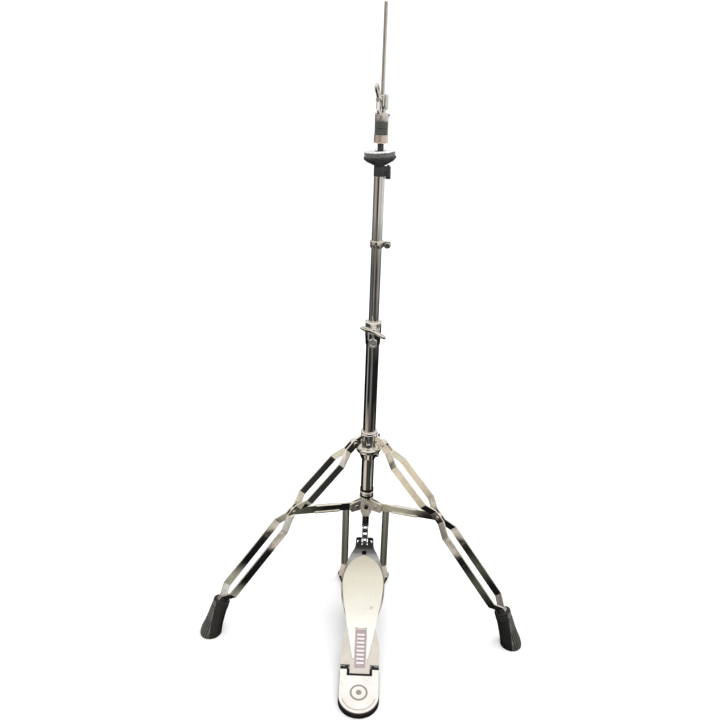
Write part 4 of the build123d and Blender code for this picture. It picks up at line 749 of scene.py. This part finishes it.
def felt_ring(outline, place, seed, fibres, corner):
    """Pressed felt ring: uneven skin with loose fibres standing off it."""
    draw = np.random.default_rng(seed)
    waves = draw.uniform(-1, 1, (WAVES, 3)) * WAVE_PITCH
    phase = draw.uniform(0, 2 * math.pi, WAVES)

    def uneven(points):
        lift = sum(np.sin(points @ wave + shift) for wave, shift in zip(waves, phase)) / WAVES
        radius = np.hypot(points[:, 0], points[:, 1])[:, None]
        outward = np.column_stack((points[:, 0], points[:, 1], np.zeros(len(points)))) / radius
        return points + outward * lift[:, None] * WAVE_HEIGHT + draw.normal(0, FELT_GRAIN, points.shape)

    mesh = lathe(denser(rounded(outline, corner), FELT_STEP), FELT_SEGMENTS, place, uneven)
    bm = bmesh.new()
    bm.from_mesh(mesh)
    bm.faces.ensure_lookup_table()
    bmesh.ops.recalc_face_normals(bm, faces=bm.faces)
    chosen = draw.integers(0, len(bm.faces), fibres)
    roots = [(bm.faces[i].calc_center_median(), bm.faces[i].normal.copy()) for i in chosen]
    for root, normal in roots:
        sideways = Vector(draw.normal(0, 1, 3)).cross(normal).normalized()
        reach = draw.uniform(*FIBRE_REACH)
        lift = draw.uniform(*FIBRE_LIFT)
        width = normal.cross(sideways) * FIBRE_HALF_WIDTH
        middle = root + sideways * reach * 0.5 + normal * reach * lift
        tip = root + sideways * reach + normal * reach * lift * draw.uniform(0.2, 1.6)
        rows = [bm.verts.new(at + width * s) for at in (root, middle) for s in (-1, 1)]
        end = bm.verts.new(tip)
        bm.faces.new((rows[0], rows[1], rows[3], rows[2]))
        bm.faces.new((rows[2], rows[3], end))
    bm.to_mesh(mesh)
    bm.free()
    return mesh


seat_place = Matrix.Translation((0, 0, SEAT_HEIGHT)) @ Matrix.Rotation(-SEAT_TILT, 4, "Y")
seat_outline = (
    (0.009, 0.0016), (0.0255, 0.0043), (0.0263, 0.0068), (0.0271, 0.0076), (0.0271, 0.0164), (0.009, 0.0164),
)
seat_ring = felt_ring(seat_outline, seat_place, seed=11, fibres=5200, corner=0.0011)
add_piece("seat_felt_ring", seat_ring, SEAT_FELT, "seat", "seat_felt")

WASHER_BORE, WASHER_RADIUS = 0.0066, 0.0115
bm = bmesh.new()
for seed, bottom, top in ((21, 0.9496, 0.9603), (22, 0.9607, 0.9715)):
    outline = ((WASHER_BORE, bottom), (WASHER_RADIUS, bottom), (WASHER_RADIUS, top), (WASHER_BORE, top))
    bm.from_mesh(felt_ring(outline, Matrix.Identity(4), seed, fibres=1500, corner=0.0009))
both = bpy.data.meshes.new("washers")
bm.to_mesh(both)
bm.free()
add_piece("clutch_felt_washers", both, CLUTCH_FELT, "clutch", "clutch_felts")


# ---------------------------------------------------------------- studio
# Strips that polished metal sees on the floor, ring by ring from the column outwards. Each ring
# gives the tones round the column, from turn 0 to 1, and the distance over which it takes over
# from the ring inside it. The world shows the last ring all round.
WALL_STRIPS = (
    (0.0, 0.08), (0.135, 0.10), (0.22, 0.20), (0.29, (0.48, 0.43, 0.38)), (0.36, (0.46, 0.40, 0.34)),
    (0.42, 0.16), (0.46, 0.035), (0.51, 0.04), (0.545, 0.88), (0.61, (0.60, 0.54, 0.48)), (0.68, 0.56),
    (0.76, 0.82), (0.865, 0.72), (0.97, 0.3),
)
INNER_STRIPS = (
    (0.0, 0.01), (0.34, 0.006), (0.365, (0.42, 0.41, 0.34)), (0.395, (0.42, 0.41, 0.34)), (0.42, 0.008),
    (0.53, 0.02), (0.57, (0.10, 0.105, 0.085)), (0.60, 0.012), (0.80, 0.006), (1.0, 0.01),
)
OUTER_RINGS = (
    (0.31, 0.36, (
        (0.0, 0.004), (0.235, 0.004), (0.275, 0.03), (0.31, (0.70, 0.64, 0.52)), (0.372, (0.90, 0.80, 0.66)),
        (0.43, (0.56, 0.50, 0.42)), (0.475, 0.02), (0.545, 0.07), (0.60, 0.04), (0.667, 0.02),
        (0.73, (0.36, 0.34, 0.30)), (0.77, 0.08), (0.82, 0.03), (0.95, 0.004),
    )),
    (0.58, 0.90, (
        (0.0, 0.004), (0.23, 0.004), (0.265, 0.02), (0.295, 0.55), (0.345, 0.04), (0.403, 0.002),
        (0.452, 0.07), (0.50, 0.24), (0.548, 0.06), (0.597, 0.006), (0.648, 0.022), (0.71, 0.01),
        (0.80, 0.02), (0.95, 0.03),
    )),
    (1.2, 2.0, (
        (0.0, 0.03), (0.13, 0.04), (0.225, 0.13), (0.307, 0.13), (0.38, 0.04), (0.442, (0.32, 0.29, 0.25)),
        (0.50, 0.09), (0.564, 0.02), (0.634, 0.20), (0.705, (0.40, 0.37, 0.33)), (0.795, 0.15), (0.95, 0.10),
    )),
    (2.4, 3.8, WALL_STRIPS),
)


def turn_round_column(sh, split):
    """Turn of a place or direction about the column, from 0 to 1, with 0.5 towards the pedal."""
    turn = sh.math("ARCTAN2", split["X"], sh.math("MULTIPLY", split["Y"], -1.0))
    return sh.spread(turn, -math.pi, math.pi, 0, 1)


def show_either(sh, plain, mirrored, output):
    """Glossy rays meet the mirrored shader, and all others the plain one."""
    either = sh.node("ShaderNodeMixShader")
    sh.link(sh.node("ShaderNodeLightPath").outputs["Is Glossy Ray"], either.inputs[0])
    sh.link(plain.outputs[0], either.inputs[1])
    sh.link(mirrored.outputs[0], either.inputs[2])
    sh.link(either.outputs[0], sh.node(output).inputs["Surface"])


def studio_world():
    """White for diffuse light; for reflections a dark studio with pale strips and a pale ceiling."""
    world = bpy.data.worlds.new("studio")
    world.use_nodes = True
    SCENE.world = world
    sh = Shader(world.node_tree)
    split = sh.split(sh.node("ShaderNodeTexCoord").outputs["Generated"])
    strips = sh.ramp(turn_round_column(sh, split), WALL_STRIPS)
    overhead = sh.ramp(split["Z"], ((0.10, 0.0), (0.42, 1.0)), True)
    mirror = sh.node("ShaderNodeBackground")
    sh.put(mirror.inputs["Color"], sh.mix(overhead, strips, (1.0, 0.97, 0.93)))
    white = sh.node("ShaderNodeBackground")
    white.inputs["Color"].default_value = (1, 1, 1, 1)
    white.inputs["Strength"].default_value = 1.12
    show_either(sh, white, mirror, "ShaderNodeOutputWorld")


def studio_floor():
    """White paper that catches soft shadows; polished metal sees rings of strips in its place."""
    mesh = bpy.data.meshes.new("floor")
    bm = bmesh.new()
    bmesh.ops.create_circle(bm, cap_ends=True, radius=30, segments=96)
    bm.to_mesh(mesh)
    bm.free()
    floor = bpy.data.objects.new("floor", mesh)
    SCENE.collection.objects.link(floor)
    material, sh = new_material("floor")
    point = sh.node("ShaderNodeTexCoord").outputs["Object"]
    turn = turn_round_column(sh, sh.split(point))
    reach = sh.node("ShaderNodeVectorMath", operation="LENGTH")
    sh.link(point, reach.inputs[0])
    strips = sh.ramp(turn, INNER_STRIPS)
    for start, end, ring in OUTER_RINGS:
        strips = sh.mix(sh.spread(reach.outputs["Value"], start, end, 0, 1), strips, sh.ramp(turn, ring))
    paper = sh.node("ShaderNodeBsdfDiffuse")
    paper.inputs["Color"].default_value = (0.93, 0.93, 0.93, 1)
    glow = sh.node("ShaderNodeEmission")
    sh.link(strips, glow.inputs["Color"])
    show_either(sh, paper, glow, "ShaderNodeOutputMaterial")
    floor.data.materials.append(material)


studio_world()
studio_floor()


def soft_light(name, place, target, size, power):
    data = bpy.data.lights.new(name, "AREA")
    data.shape = "DISK"
    data.size = size
    data.energy = power
    lamp = bpy.data.objects.new(name, data)
    SCENE.collection.objects.link(lamp)
    lamp.location = place
    lamp.rotation_mode = "QUATERNION"
    lamp.rotation_quaternion = (Vector(target) - Vector(place)).to_track_quat("-Z", "Y")
    lamp.visible_glossy = False


soft_light("overhead", (0.3, -0.6, 3.0), (0, 0, 0.3), 2.2, 20)
soft_light("key", (1.6, 0.6, 1.9), (0, 0, 0.1), 0.9, 14)

# ---------------------------------------------------------------- camera
CAMERA_PLACE = (0, -1.3305, 1.0992)
LOOK_DOWN = math.radians(20.2)
CAMERA_ROLL = math.radians(2.304)
SHIFT_X, SHIFT_Y = -0.0190, -0.0579
FOCAL_LENGTH = 37.5
camera_data = bpy.data.cameras.new("camera")
camera_data.sensor_width = 36
camera_data.lens = FOCAL_LENGTH
camera_data.shift_x = SHIFT_X
camera_data.shift_y = SHIFT_Y
camera_data.clip_start = 0.01
camera_data.clip_end = 100
camera = bpy.data.objects.new("camera", camera_data)
SCENE.collection.objects.link(camera)
camera.matrix_world = (
    Matrix.Translation(CAMERA_PLACE)
    @ Matrix.Rotation(math.pi / 2 - LOOK_DOWN, 4, "X")
    @ Matrix.Rotation(CAMERA_ROLL, 4, "Z")
)
SCENE.camera = camera
SCENE.view_settings.view_transform = "Standard"

bpy.context.view_layer.update()
